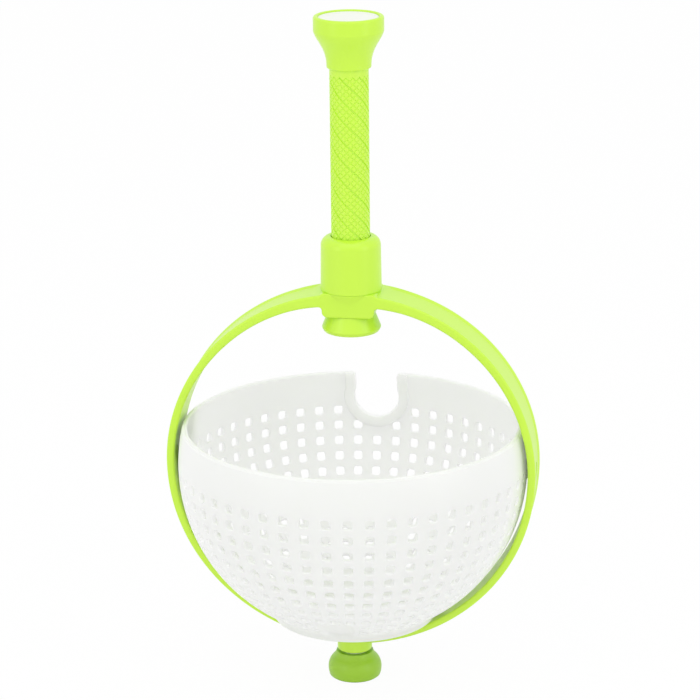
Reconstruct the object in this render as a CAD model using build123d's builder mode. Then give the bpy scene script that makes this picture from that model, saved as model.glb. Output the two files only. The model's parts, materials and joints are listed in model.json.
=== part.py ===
from build123d import *
from math import acos, asin, degrees, hypot, sqrt
import os

# Salad spinner with a pump handle: a tipping colander basket hangs in a hoop, and the hoop spins on
# a small foot while the spiral shaft is pumped through the collar on top.
# The origin is the centre of the foot's sole, +Z is up, the hoop stands in the XZ plane and the
# basket's keyhole notch faces +Y.

# Fits
SLIP_FIT = 0.06             # radial, on small pins and screws
GUIDE_FIT = 0.1             # radial, on the shaft's guides and what sits in the collar
RUNNING_GAP = 0.4           # between pieces that turn or slide past each other
HOOP_CLEARANCE = 1.8        # between the bowl and the hoop at the pivots
RING_CLEARANCE = 3.2        # between the foot ring's sweep and the hoop's lowest place

# Basket
BASKET_RADIUS = 113.2
BASKET_WALL = 3.0
RIM_HEIGHT = 27.0           # above the pivot
RIM_ROUNDING = 1.3
RING_RADIUS = 53.5
RING_WALL = 3.0
RING_HEIGHT = 4.5           # below the bowl
FLOOR_HEIGHT = 5.3          # from the ring's lower edge up to the floor's underside
FLOOR_THICKNESS = 3.0
NOTCH_RADIUS = 15.2
NOTCH_CENTRE = 9.6          # above the pivot
NOTCH_MOUTH = 28.6
LIP_WIDTH = 7.0
LIP_THICKNESS = 2.4
SCOOP_WIDTH = 26.0
SCOOP_DEPTH = 1.6
SCOOP_HEIGHT = 21.0
SCOOP_EDGE = 1.2            # from the ring's lower edge up to the scoop's round end
BOSS_RADIUS = 6.0
BOSS_DEPTH = 3.2            # inside the basket's wall
BOSS_GAP = 0.6              # between the boss and the hoop
PIN_RADIUS = 3.0
PIN_HEAD_RADIUS = 5.0
PIN_HEAD = 1.6

# Foot
SOLE_RADIUS = 16.0
SOLE_INSIDE_RADIUS = 9.0
SOLE_THICKNESS = 2.0
SOLE_STEP = 0.8             # how far the sole stands below the foot's shell
SOLE_EDGE = 0.3
FOOT_BASE_RADIUS = 16.8
FOOT_RADIUS = 17.6
FOOT_BELLY = 5.8            # height of the widest place
FOOT_SHOULDER_RADIUS = 14.6
FOOT_SHOULDER = 13.1        # height where the round bulb turns into the hollow neck
FOOT_NECK_RADIUS = 12.0
FOOT_HEIGHT = 17.4
AXLE_RADIUS = 3.5
AXLE_HEAD_RADIUS = 7.0
AXLE_HEAD = 2.5
WASHER_RADIUS = 8.5
WASHER_THICKNESS = 1.0
RETAINING_SCREW_RADIUS = 1.5
RETAINING_HEAD_RADIUS = 3.2
RETAINING_HEAD = 1.7
RETAINING_SCREW_LENGTH = 9.0

# Hoop
HOOP_THICKNESS = 5.0        # at the pivots
HOOP_FOOT_THICKNESS = 4.0
HOOP_UPPER_THICKNESS = 6.0  # towards the top
HOOP_ARM_THICKNESS = 9.0    # from the crown down to the underside beside the block
HOOP_ARM_START = 52.0       # degrees above the pivot where the arms begin to thicken
HOOP_FLATTENING = 2.7       # how much lower than round the hoop's upper half is
HOOP_TOP_WIDTH = 30.0
HOOP_WIDTH = 34.0
HOOP_FOOT_WIDTH = 16.0
CHANNEL_DEPTH = 1.2         # of the shallow trough in the hoop's outer face
CHANNEL_LIP = 3.0
CHANNEL_TOP_END = 24.0      # from the axis to the trough's ends
CHANNEL_FOOT_END = 17.0
HUB_RADIUS = 11.4
HUB_NECK = 5.8              # from the hub's underside up to the hoop's
BUSH_WALL = 2.5
BUSH_FLANGE = 1.5
BUSH_FLANGE_RADIUS = 8.5

# Collar on the hoop and the block below it
BLOCK_WIDTH = 33.6
BLOCK_DEPTH = 32.0
BLOCK_HEIGHT = 15.7
BLOCK_CORNER = 3.6
COLLAR_HEIGHT = 34.7
COLLAR_RADIUS = 19.5        # at the bottom
COLLAR_TOP_RADIUS = 19.0
COLLAR_ROUNDING = 6.0
COLLAR_CAVITY_RADIUS = 16.2
COLLAR_LIP = 4.4            # thickness of the collar's top
SCREW_CIRCLE_RADIUS = 18.0
COLLAR_SCREW_COUNT = 4
COLLAR_SCREW_RADIUS = 0.9
COLLAR_HEAD_RADIUS = 1.7
COLLAR_HEAD = 1.5
COLLAR_HEAD_SEAT = 3.0      # from the block's underside to the seat of the screw heads
COLLAR_SCREW_REACH = 9.0    # above the block

# Spiral drive
PUMP_STROKE = 104.0
SHAFT_RADIUS = 12.3
SHAFT_BORE = 8.3
SPIRAL_STARTS = 6
SPIRAL_LEAD = 78.0          # left hand
GROOVE_WIDTH = 1.8
GROOVE_DEPTH = 1.0
GROOVE_START = 2.3          # from the block's top down to the grooves' lower ends
GROOVE_STOP = 7.0           # from the knob down to the grooves' upper ends
RIB_GAP = 0.3               # between the nut's ribs and the groove, all round
RIB_SPARE = 5.0             # length of the ribs past the nut's ends before they are trimmed
NUT_HEIGHT = 10.6
NUT_RADIUS = 15.5
TOOTH_COUNT = 8
TOOTH_HEIGHT = 1.8
TOOTH_WIDTH = 5.0
TOOTH_GAP = 0.5             # between the two rings of teeth while the clutch is let go
LOWER_BUSH_FLANGE = 2.0
LOWER_BUSH_DEPTH = 4.0
LOWER_BUSH_WALL = 2.2
TOOTH_INSET = 0.3           # of the teeth from the nut's bore and rim
CLUTCH_HEIGHT = 4.0
CLUTCH_KEY_COUNT = 4
CLUTCH_KEY_WIDTH = 4.0
CLUTCH_KEY_DEPTH = 1.2

# Stop bell at the shaft's lower end, heights above its lower edge
BELL_RADIUS = 19.0
BELL_DROP = 12.0            # from the block's underside down to the bell's lower edge
BELL_LIP = 2.5              # up to the widest place
BELL_LIP_RADIUS = 17.6
BELL_HEIGHT = 17.5
BELL_TOP_RADIUS = 13.1
BELL_SEAT = 9.0             # the shaft's end stands here
BELL_DISH_RADIUS = 14.5
BELL_DISH_DEPTH = 4.5
SPIGOT_HEIGHT = 24.0
BELL_PIN_RADIUS = 1.25
BELL_PIN_HEIGHT = 21.0

# Knob, heights above its lower edge
KNOB_CLEARANCE = 4.0        # above the collar at the end of the stroke
KNOB_HEIGHT = 32.6
KNOB_RADIUS = 22.1
KNOB_SLEEVE_RADIUS = 14.0
KNOB_FLARE = [(15.5, 9.4), (19.6, 18.6)]
KNOB_BAND = 23.4            # where the flare meets the straight band
KNOB_ROUNDING = 1.5
KNOB_LIP = 0.8              # rounding of the sleeve's lower edge
CAP_RADIUS = 19.0
CAP_THICKNESS = 3.0
CAP_DEPTH = 0.9             # of the white disc below the knob's rim
CAP_EDGE = 0.4
SHAFT_SOCKET = 13.0         # the shaft's end in the knob
SHAFT_WEB = 18.0            # solid top end of the shaft
KNOB_SCREW_RADIUS = 1.95
KNOB_HEAD_RADIUS = 4.0
KNOB_HEAD = 3.0
KNOB_SCREW_SEAT = 19.0
KNOB_SCREW_REACH = 12.0     # into the shaft

# Basket, hoop and foot: sizes that follow
basket_inside = BASKET_RADIUS - BASKET_WALL
ring_top_drop = sqrt(BASKET_RADIUS**2 - RING_RADIUS**2)
ring_drop = ring_top_drop + RING_HEIGHT
floor_drop = ring_drop - FLOOR_HEIGHT
floor_top_drop = floor_drop - FLOOR_THICKNESS
hoop_inside = BASKET_RADIUS + HOOP_CLEARANCE
hoop_radius = hoop_inside + HOOP_THICKNESS
hoop_rise = hoop_radius - HOOP_FLATTENING
hoop_inside_rise = hoop_rise - HOOP_UPPER_THICKNESS
hoop_inside_drop = hypot(RING_RADIUS, ring_drop) + RING_CLEARANCE
hoop_drop = hoop_inside_drop + HOOP_FOOT_THICKNESS
hub_bottom = FOOT_HEIGHT + WASHER_THICKNESS + RUNNING_GAP
hoop_underside = hub_bottom + HUB_NECK
hoop_floor = hoop_underside + HOOP_FOOT_THICKNESS
pivot_height = hoop_underside + hoop_drop
hoop_top = pivot_height + hoop_rise
arm_underside = hoop_top - HOOP_ARM_THICKNESS
channel_floor = hoop_radius - CHANNEL_DEPTH
rim_top = pivot_height + RIM_HEIGHT
ring_bottom = pivot_height - ring_drop
floor_bottom = pivot_height - floor_drop
scoop_radius = SCOOP_WIDTH / 2
scoop_bottom = ring_bottom + SCOOP_EDGE
boss_outer_end = hoop_inside - BOSS_GAP
boss_inner_end = basket_inside - BOSS_DEPTH
sole_top = SOLE_THICKNESS
axle_head_top = sole_top + AXLE_HEAD
hub_floor = hoop_floor - RUNNING_GAP - WASHER_THICKNESS - RETAINING_HEAD
axle_top = hub_floor + RUNNING_GAP
bush_bore = AXLE_RADIUS + SLIP_FIT
bush_radius = bush_bore + BUSH_WALL

# Collar, drive and handle: sizes that follow
block_top = hoop_top
block_bottom = block_top - BLOCK_HEIGHT
collar_top = block_top + COLLAR_HEIGHT
cavity_top = collar_top - COLLAR_LIP
screw_turn = 180 / COLLAR_SCREW_COUNT
clutch_bottom = block_top + LOWER_BUSH_FLANGE
clutch_top = clutch_bottom + CLUTCH_HEIGHT
nut_bottom = clutch_top + 2 * TOOTH_HEIGHT + TOOTH_GAP
nut_top = nut_bottom + NUT_HEIGHT
upper_bush_bottom = nut_top + TOOTH_GAP
shaft_opening = SHAFT_RADIUS + RUNNING_GAP
guide_bore = SHAFT_RADIUS + GUIDE_FIT
seated_radius = COLLAR_CAVITY_RADIUS - GUIDE_FIT
lower_bush_radius = guide_bore + LOWER_BUSH_WALL
lower_bush_bottom = block_top - LOWER_BUSH_DEPTH
knob_bottom = collar_top + PUMP_STROKE + KNOB_CLEARANCE
knob_top = knob_bottom + KNOB_HEIGHT
cap_bottom = knob_top - CAP_DEPTH - CAP_THICKNESS
knob_screw_seat = knob_bottom + KNOB_SCREW_SEAT
shaft_top = knob_bottom + SHAFT_SOCKET
groove_floor = SHAFT_RADIUS - GROOVE_DEPTH
groove_bottom = block_top - GROOVE_START
groove_top = knob_bottom - GROOVE_STOP
bell_bottom = block_bottom - BELL_DROP
bell_widest = bell_bottom + BELL_LIP
bell_seat = bell_bottom + BELL_SEAT
bell_top = bell_bottom + BELL_HEIGHT
spigot_top = bell_bottom + SPIGOT_HEIGHT
bell_pin_height = bell_bottom + BELL_PIN_HEIGHT
bell_slope = (BELL_RADIUS - BELL_TOP_RADIUS) / (bell_top - bell_widest)
bell_at_block = BELL_TOP_RADIUS + bell_slope * (bell_top - block_bottom)
bell_recess_top = bell_top + RUNNING_GAP

os.makedirs("parts", exist_ok=True)


def hoop_lower_outline(side, drop):
    """Lower half of the hoop's outline: an arc from each pivot down to the hub."""
    for end in (side, -side):
        TangentArc((end, pivot_height), (0, pivot_height - drop), tangent=(0, -1))


def hoop_outline(inset):
    """Outline of the hoop's outer face, moved inwards by an inset."""
    side = hoop_radius - inset
    EllipticalCenterArc((0, pivot_height), side, hoop_rise - inset, start_angle=0, arc_size=180)
    hoop_lower_outline(side, hoop_drop - inset)


def hoop_inside_outline():
    """Outline of the hoop's inner face, whose arms thicken into the block."""
    pivot = (0, pivot_height)
    block_side = (BLOCK_WIDTH / 2, arm_underside)
    flank = EllipticalCenterArc(pivot, hoop_inside, hoop_inside_rise, arc_size=HOOP_ARM_START)
    arm = TangentArc(flank @ 1, block_side, tangent=flank % 1)
    mirror(objects=[flank, arm], about=Plane.YZ)
    Line(block_side, (-BLOCK_WIDTH / 2, arm_underside))
    hoop_lower_outline(hoop_inside, hoop_inside_drop)


def hoop_side_outline(inset):
    """Side view of the band in the YZ plane: widest near the pivot and narrow at the foot."""
    right = ThreePointArc(
        (HOOP_TOP_WIDTH / 2 - inset, hoop_top + HOOP_THICKNESS),
        (HOOP_WIDTH / 2 - inset, pivot_height),
        (HOOP_FOOT_WIDTH / 2 - inset, hoop_underside - HOOP_THICKNESS),
    )
    left = ThreePointArc(
        (inset - HOOP_FOOT_WIDTH / 2, hoop_underside - HOOP_THICKNESS),
        (inset - HOOP_WIDTH / 2, pivot_height),
        (inset - HOOP_TOP_WIDTH / 2, hoop_top + HOOP_THICKNESS),
    )
    Line(right @ 1, left @ 0)
    Line(left @ 1, right @ 0)


def notch_outline(margin):
    """Keyhole in the basket's back rim, seen along Y, grown by a margin."""
    centre = (0, pivot_height + NOTCH_CENTRE)
    with Locations(centre):
        Circle(NOTCH_RADIUS + margin)
        Rectangle(NOTCH_MOUTH + 2 * margin, 2 * BASKET_RADIUS, align=(Align.CENTER, Align.MIN))


def spiral_bar(inner, outer, width, bottom, height):
    """One left-hand spiral bar of rectangular section between two radii."""
    middle = (inner + outer) / 2
    path = Helix(SPIRAL_LEAD, height, middle, center=(0, 0, bottom), lefthand=True, mode=Mode.PRIVATE)
    with BuildPart() as bar:
        with BuildSketch(Plane(origin=path @ 0, x_dir=(1, 0, 0), z_dir=path % 0)):
            Rectangle(outer - inner, width)
        sweep(path=path, is_frenet=True)
    return bar.part


def saw_teeth(base, inner, outer, rise):
    """Ring of ratchet teeth on a base plane; a negative rise hangs them below it."""
    with BuildPart() as teeth:
        with BuildSketch(Plane.YZ.offset(inner)):
            Polygon(
                (-TOOTH_WIDTH / 2, base),
                (TOOTH_WIDTH / 2, base),
                (TOOTH_WIDTH / 2, base + rise),
                align=None,
            )
        tooth = extrude(amount=outer - inner)
        with PolarLocations(0, TOOTH_COUNT - 1, start_angle=360 / TOOTH_COUNT,
                            angular_range=360 - 360 / TOOTH_COUNT):
            add(tooth)
    return teeth.part


# Foot: sole, shell, axle and what holds the hub on the axle
with BuildPart() as foot_pad:
    with BuildSketch():
        Circle(SOLE_RADIUS)
        Circle(SOLE_INSIDE_RADIUS, mode=Mode.SUBTRACT)
    extrude(amount=SOLE_THICKNESS)
    fillet(foot_pad.edges().group_by(Axis.Z)[0], SOLE_EDGE)

with BuildPart() as foot_shell:
    with BuildSketch(Plane.XZ):
        with BuildLine():
            belly = (FOOT_RADIUS, FOOT_BELLY)
            TangentArc(belly, (FOOT_BASE_RADIUS, SOLE_STEP), tangent=(0, -1))
            bulb = TangentArc(belly, (FOOT_SHOULDER_RADIUS, FOOT_SHOULDER), tangent=(0, 1))
            TangentArc(bulb @ 1, (FOOT_NECK_RADIUS, FOOT_HEIGHT), tangent=bulb % 1)
            Polyline(
                (FOOT_BASE_RADIUS, SOLE_STEP),
                (SOLE_RADIUS + SLIP_FIT, SOLE_STEP),
                (SOLE_RADIUS + SLIP_FIT, sole_top),
                (SOLE_INSIDE_RADIUS - SLIP_FIT, sole_top),
                (SOLE_INSIDE_RADIUS - SLIP_FIT, SOLE_STEP),
                (AXLE_HEAD_RADIUS + SLIP_FIT, SOLE_STEP),
                (AXLE_HEAD_RADIUS + SLIP_FIT, axle_head_top),
                (AXLE_RADIUS + SLIP_FIT, axle_head_top),
                (AXLE_RADIUS + SLIP_FIT, FOOT_HEIGHT),
                (FOOT_NECK_RADIUS, FOOT_HEIGHT),
            )
        make_face()
    revolve(axis=Axis.Z)

with BuildPart() as axle:
    with BuildSketch(Plane.XY.offset(sole_top)):
        Circle(AXLE_HEAD_RADIUS)
    extrude(amount=AXLE_HEAD)
    with BuildSketch(Plane.XY.offset(axle_head_top)):
        Circle(AXLE_RADIUS)
    extrude(amount=axle_top - axle_head_top)
    with BuildSketch(Plane.XY.offset(axle_top)):
        Circle(RETAINING_SCREW_RADIUS + SLIP_FIT)
    extrude(amount=-RETAINING_SCREW_LENGTH - RUNNING_GAP, mode=Mode.SUBTRACT)

with BuildPart() as thrust_washer:
    with BuildSketch(Plane.XY.offset(FOOT_HEIGHT)):
        Circle(WASHER_RADIUS)
        Circle(AXLE_RADIUS + SLIP_FIT, mode=Mode.SUBTRACT)
    extrude(amount=WASHER_THICKNESS)

with BuildPart() as retaining_washer:
    with BuildSketch(Plane.XY.offset(axle_top)):
        Circle(WASHER_RADIUS)
        Circle(RETAINING_SCREW_RADIUS + SLIP_FIT, mode=Mode.SUBTRACT)
    extrude(amount=WASHER_THICKNESS)

with BuildPart() as retaining_screw:
    with BuildSketch(Plane.XY.offset(axle_top + WASHER_THICKNESS)):
        Circle(RETAINING_HEAD_RADIUS)
    extrude(amount=RETAINING_HEAD)
    with BuildSketch(Plane.XY.offset(axle_top + WASHER_THICKNESS)):
        Circle(RETAINING_SCREW_RADIUS)
    extrude(amount=-RETAINING_SCREW_LENGTH)
    fillet(retaining_screw.edges().sort_by(Axis.Z)[-1], RETAINING_HEAD / 2)

# Hoop: band with a shallow trough outside, hub at the foot and block under the collar
with BuildPart() as channel:
    with BuildSketch(Plane.XZ):
        with BuildLine():
            hoop_outline(0)
        make_face()
        with BuildLine():
            hoop_outline(CHANNEL_DEPTH)
        make_face(mode=Mode.SUBTRACT)
        with Locations((0, hoop_top)):
            Rectangle(2 * CHANNEL_TOP_END, hoop_radius, mode=Mode.SUBTRACT)
        with Locations((0, hoop_underside)):
            Rectangle(2 * CHANNEL_FOOT_END, hoop_radius, mode=Mode.SUBTRACT)
    extrude(amount=HOOP_WIDTH, both=True)
    with BuildSketch(Plane.YZ):
        with BuildLine():
            hoop_side_outline(CHANNEL_LIP)
        make_face()
    extrude(amount=2 * hoop_radius, both=True, mode=Mode.INTERSECT)

with BuildPart() as hoop:
    with BuildSketch(Plane.XZ):
        with BuildLine():
            hoop_outline(0)
        make_face()
        with BuildLine():
            hoop_inside_outline()
        make_face(mode=Mode.SUBTRACT)
    extrude(amount=HOOP_WIDTH, both=True)
    with BuildSketch(Plane.YZ):
        with BuildLine():
            hoop_side_outline(0)
        make_face()
    extrude(amount=2 * hoop_radius, both=True, mode=Mode.INTERSECT)
    add(channel.part, mode=Mode.SUBTRACT)
    with BuildSketch(Plane.XZ):
        with Locations((0, block_top)):
            Rectangle(BLOCK_WIDTH, block_top - block_bottom, align=(Align.CENTER, Align.MAX))
        fillet(vertices().group_by(Axis.Y)[0], BLOCK_CORNER)
    extrude(amount=BLOCK_DEPTH / 2, both=True)
    with BuildSketch(Plane.XY.offset(hub_bottom)):
        Circle(HUB_RADIUS)
    extrude(amount=hoop_floor - hub_bottom)
    with BuildSketch(Plane.XY.offset(block_top)):
        Circle(COLLAR_RADIUS)
        Rectangle(2 * COLLAR_RADIUS, HOOP_TOP_WIDTH, mode=Mode.INTERSECT)
    extrude(amount=-HOOP_ARM_THICKNESS / 2)
    with BuildSketch(Plane.XY.offset(block_top)):
        Circle(lower_bush_radius + GUIDE_FIT)
    extrude(amount=-LOWER_BUSH_DEPTH, mode=Mode.SUBTRACT)
    with BuildSketch(Plane.XZ):
        Polygon(
            (0, block_bottom),
            (bell_at_block + RUNNING_GAP, block_bottom),
            (BELL_TOP_RADIUS + RUNNING_GAP, bell_top),
            (BELL_TOP_RADIUS + RUNNING_GAP, bell_recess_top),
            (shaft_opening, bell_recess_top),
            (shaft_opening, lower_bush_bottom),
            (0, lower_bush_bottom),
            align=None,
        )
    revolve(axis=Axis.Z, mode=Mode.SUBTRACT)
    with BuildSketch(Plane.XY.offset(block_bottom)):
        with PolarLocations(SCREW_CIRCLE_RADIUS, COLLAR_SCREW_COUNT, start_angle=screw_turn):
            Circle(COLLAR_SCREW_RADIUS + SLIP_FIT)
    extrude(amount=block_top - block_bottom, mode=Mode.SUBTRACT)
    with BuildSketch(Plane.XY.offset(block_bottom)):
        with PolarLocations(SCREW_CIRCLE_RADIUS, COLLAR_SCREW_COUNT, start_angle=screw_turn):
            Circle(COLLAR_HEAD_RADIUS + GUIDE_FIT)
    extrude(amount=COLLAR_HEAD_SEAT, mode=Mode.SUBTRACT)
    with BuildSketch(Plane.XY.offset(hub_floor)):
        Circle(WASHER_RADIUS + RUNNING_GAP)
    extrude(amount=HOOP_THICKNESS, mode=Mode.SUBTRACT)
    with BuildSketch(Plane.XY.offset(hub_bottom)):
        Circle(bush_radius + SLIP_FIT)
    extrude(amount=hub_floor - hub_bottom, mode=Mode.SUBTRACT)
    with BuildSketch(Plane.XY.offset(hub_bottom)):
        Circle(BUSH_FLANGE_RADIUS + SLIP_FIT)
    extrude(amount=BUSH_FLANGE, mode=Mode.SUBTRACT)
    with BuildSketch(Plane.YZ):
        with Locations((0, pivot_height)):
            Circle(PIN_RADIUS + SLIP_FIT)
    extrude(amount=2 * hoop_radius, both=True, mode=Mode.SUBTRACT)
    for side in (1, -1):
        with BuildSketch(Plane.YZ.offset(side * (channel_floor - PIN_HEAD))):
            with Locations((0, pivot_height)):
                Circle(PIN_HEAD_RADIUS + SLIP_FIT)
        extrude(amount=side * HOOP_THICKNESS, mode=Mode.SUBTRACT)

with BuildPart() as hub_bush:
    with BuildSketch(Plane.XY.offset(hub_bottom)):
        Circle(bush_radius)
    extrude(amount=hub_floor - hub_bottom)
    with BuildSketch(Plane.XY.offset(hub_bottom)):
        Circle(BUSH_FLANGE_RADIUS)
    extrude(amount=BUSH_FLANGE)
    with BuildSketch(Plane.XY.offset(hub_bottom)):
        Circle(bush_bore)
    extrude(amount=hub_floor - hub_bottom, mode=Mode.SUBTRACT)

# Collar and the drive inside it
with BuildPart() as collar:
    with BuildSketch(Plane.XZ):
        with BuildLine():
            Polyline(
                (COLLAR_CAVITY_RADIUS, block_top),
                (COLLAR_RADIUS, block_top),
                (COLLAR_TOP_RADIUS, collar_top),
                (shaft_opening, collar_top),
                (shaft_opening, cavity_top),
                (COLLAR_CAVITY_RADIUS, cavity_top),
                close=True,
            )
        make_face()
        fillet(vertices().group_by(Axis.Y)[-1].sort_by(Axis.X)[-1], COLLAR_ROUNDING)
    revolve(axis=Axis.Z)
    with BuildSketch(Plane.XY.offset(block_top)):
        with PolarLocations(COLLAR_CAVITY_RADIUS, CLUTCH_KEY_COUNT):
            Rectangle(2 * (CLUTCH_KEY_DEPTH + GUIDE_FIT), CLUTCH_KEY_WIDTH + 2 * GUIDE_FIT)
    extrude(amount=clutch_top - block_top, mode=Mode.SUBTRACT)
    with BuildSketch(Plane.XY.offset(block_top)):
        with PolarLocations(SCREW_CIRCLE_RADIUS, COLLAR_SCREW_COUNT, start_angle=screw_turn):
            Circle(COLLAR_SCREW_RADIUS + SLIP_FIT)
    extrude(amount=COLLAR_SCREW_REACH + RUNNING_GAP, mode=Mode.SUBTRACT)

with BuildPart() as collar_screws:
    with BuildSketch(Plane.XY.offset(block_bottom + COLLAR_HEAD_SEAT)):
        with PolarLocations(SCREW_CIRCLE_RADIUS, COLLAR_SCREW_COUNT, start_angle=screw_turn):
            Circle(COLLAR_HEAD_RADIUS)
    extrude(amount=-COLLAR_HEAD)
    with BuildSketch(Plane.XY.offset(block_bottom + COLLAR_HEAD_SEAT)):
        with PolarLocations(SCREW_CIRCLE_RADIUS, COLLAR_SCREW_COUNT, start_angle=screw_turn):
            Circle(COLLAR_SCREW_RADIUS)
    extrude(amount=block_top + COLLAR_SCREW_REACH - block_bottom - COLLAR_HEAD_SEAT)

with BuildPart() as lower_bush:
    with BuildSketch(Plane.XY.offset(lower_bush_bottom)):
        Circle(lower_bush_radius)
    extrude(amount=LOWER_BUSH_DEPTH)
    with BuildSketch(Plane.XY.offset(block_top)):
        Circle(seated_radius)
    extrude(amount=LOWER_BUSH_FLANGE)
    with BuildSketch(Plane.XY.offset(lower_bush_bottom)):
        Circle(guide_bore)
    extrude(amount=LOWER_BUSH_DEPTH + LOWER_BUSH_FLANGE, mode=Mode.SUBTRACT)

with BuildPart() as upper_bush:
    with BuildSketch(Plane.XY.offset(upper_bush_bottom)):
        Circle(seated_radius)
        Circle(guide_bore, mode=Mode.SUBTRACT)
    extrude(amount=cavity_top - upper_bush_bottom)

with BuildPart() as clutch_ring:
    with BuildSketch(Plane.XY.offset(clutch_bottom)):
        Circle(seated_radius)
        with PolarLocations(seated_radius, CLUTCH_KEY_COUNT):
            Rectangle(2 * CLUTCH_KEY_DEPTH, CLUTCH_KEY_WIDTH)
        Circle(shaft_opening, mode=Mode.SUBTRACT)
    extrude(amount=CLUTCH_HEIGHT)
    add(saw_teeth(clutch_top, shaft_opening + TOOTH_INSET, NUT_RADIUS - TOOTH_INSET, TOOTH_HEIGHT))

with BuildPart() as drive_nut:
    rib_floor = groove_floor + RIB_GAP
    rib_root = (shaft_opening + NUT_RADIUS) / 2
    rib_start = nut_bottom - RIB_SPARE
    rib_height = NUT_HEIGHT + 2 * RIB_SPARE
    rib = spiral_bar(rib_floor, rib_root, GROOVE_WIDTH - 2 * RIB_GAP, rib_start, rib_height)
    rib_turn = -360 * (rib_start - groove_bottom) / SPIRAL_LEAD
    with PolarLocations(0, SPIRAL_STARTS, start_angle=rib_turn):
        add(rib)
    with BuildSketch(Plane.XY.offset(nut_bottom)):
        Circle(NUT_RADIUS)
    extrude(amount=NUT_HEIGHT, mode=Mode.INTERSECT)
    with BuildSketch(Plane.XY.offset(nut_bottom)):
        Circle(NUT_RADIUS)
        Circle(shaft_opening, mode=Mode.SUBTRACT)
    extrude(amount=NUT_HEIGHT)
    add(saw_teeth(nut_bottom, shaft_opening + TOOTH_INSET, NUT_RADIUS - TOOTH_INSET, -TOOTH_HEIGHT))

# Handle: spiral shaft, stop bell and knob
with BuildPart() as spiral_shaft:
    with BuildSketch(Plane.XY.offset(bell_seat)):
        Circle(SHAFT_RADIUS)
    extrude(amount=shaft_top - bell_seat)
    with BuildSketch(Plane.XY.offset(bell_seat)):
        Circle(SHAFT_BORE)
    extrude(amount=shaft_top - SHAFT_WEB - bell_seat, mode=Mode.SUBTRACT)
    with BuildSketch(Plane.XY.offset(shaft_top)):
        Circle(KNOB_SCREW_RADIUS + SLIP_FIT)
    extrude(amount=-KNOB_SCREW_REACH - RUNNING_GAP, mode=Mode.SUBTRACT)
    with BuildSketch(Plane.YZ):
        with Locations((0, bell_pin_height)):
            Circle(BELL_PIN_RADIUS + SLIP_FIT)
    extrude(amount=2 * SHAFT_RADIUS, both=True, mode=Mode.SUBTRACT)
    groove = spiral_bar(groove_floor, SHAFT_RADIUS + GROOVE_DEPTH, GROOVE_WIDTH, groove_bottom,
                        groove_top - groove_bottom)
    with PolarLocations(0, SPIRAL_STARTS):
        add(groove, mode=Mode.SUBTRACT)

with BuildPart() as stop_bell:
    with BuildSketch(Plane.XZ):
        with BuildLine():
            Polyline(
                (BELL_RADIUS, bell_widest),
                (BELL_TOP_RADIUS, bell_top),
                (SHAFT_RADIUS + SLIP_FIT, bell_top),
                (SHAFT_RADIUS + SLIP_FIT, bell_seat),
                (SHAFT_BORE - SLIP_FIT, bell_seat),
                (SHAFT_BORE - SLIP_FIT, spigot_top),
                (0, spigot_top),
                (0, bell_bottom + BELL_DISH_DEPTH),
            )
            TangentArc((0, bell_bottom + BELL_DISH_DEPTH), (BELL_DISH_RADIUS, bell_bottom), tangent=(1, 0))
            Line((BELL_DISH_RADIUS, bell_bottom), (BELL_LIP_RADIUS, bell_bottom))
            RadiusArc((BELL_LIP_RADIUS, bell_bottom), (BELL_RADIUS, bell_widest), -BELL_LIP)
        make_face()
    revolve(axis=Axis.Z)
    with BuildSketch(Plane.YZ):
        with Locations((0, bell_pin_height)):
            Circle(BELL_PIN_RADIUS + SLIP_FIT)
    extrude(amount=SHAFT_RADIUS, both=True, mode=Mode.SUBTRACT)

with BuildPart() as bell_pin:
    with BuildSketch(Plane.YZ):
        with Locations((0, bell_pin_height)):
            Circle(BELL_PIN_RADIUS)
    extrude(amount=SHAFT_RADIUS - GUIDE_FIT, both=True)

with BuildPart() as knob:
    with BuildSketch(Plane.XZ):
        with BuildLine():
            sleeve = (KNOB_SLEEVE_RADIUS, knob_bottom)
            flare = [(radius, knob_bottom + height) for radius, height in KNOB_FLARE]
            band = (KNOB_RADIUS, knob_bottom + KNOB_BAND)
            Spline(sleeve, *flare, band, tangents=[(0, 1), (0, 1)])
            Polyline(
                band,
                (KNOB_RADIUS, knob_top),
                (CAP_RADIUS + SLIP_FIT, knob_top),
                (CAP_RADIUS + SLIP_FIT, cap_bottom),
                (KNOB_HEAD_RADIUS + GUIDE_FIT, cap_bottom),
                (KNOB_HEAD_RADIUS + GUIDE_FIT, knob_screw_seat),
                (KNOB_SCREW_RADIUS + SLIP_FIT, knob_screw_seat),
                (KNOB_SCREW_RADIUS + SLIP_FIT, shaft_top),
                (SHAFT_RADIUS + SLIP_FIT, shaft_top),
                (SHAFT_RADIUS + SLIP_FIT, knob_bottom),
                sleeve,
            )
        make_face()
        fillet(vertices().group_by(Axis.Y)[-1].sort_by(Axis.X)[-1], KNOB_ROUNDING)
        fillet(vertices().group_by(Axis.Y)[0].sort_by(Axis.X)[-1], KNOB_LIP)
    revolve(axis=Axis.Z)

with BuildPart() as knob_cap:
    with BuildSketch(Plane.XY.offset(cap_bottom)):
        Circle(CAP_RADIUS)
    extrude(amount=CAP_THICKNESS)
    fillet(knob_cap.edges().sort_by(Axis.Z)[-1], CAP_EDGE)

with BuildPart() as knob_screw:
    with BuildSketch(Plane.XY.offset(knob_screw_seat)):
        Circle(KNOB_HEAD_RADIUS)
    extrude(amount=KNOB_HEAD)
    with BuildSketch(Plane.XY.offset(knob_screw_seat)):
        Circle(KNOB_SCREW_RADIUS)
    extrude(amount=shaft_top - KNOB_SCREW_REACH - knob_screw_seat)

# Basket and its pivots
with BuildPart() as lip_shell:
    with Locations((0, 0, pivot_height)):
        Sphere(basket_inside + BASKET_WALL / 2)
        Sphere(basket_inside - LIP_THICKNESS, mode=Mode.SUBTRACT)

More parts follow.
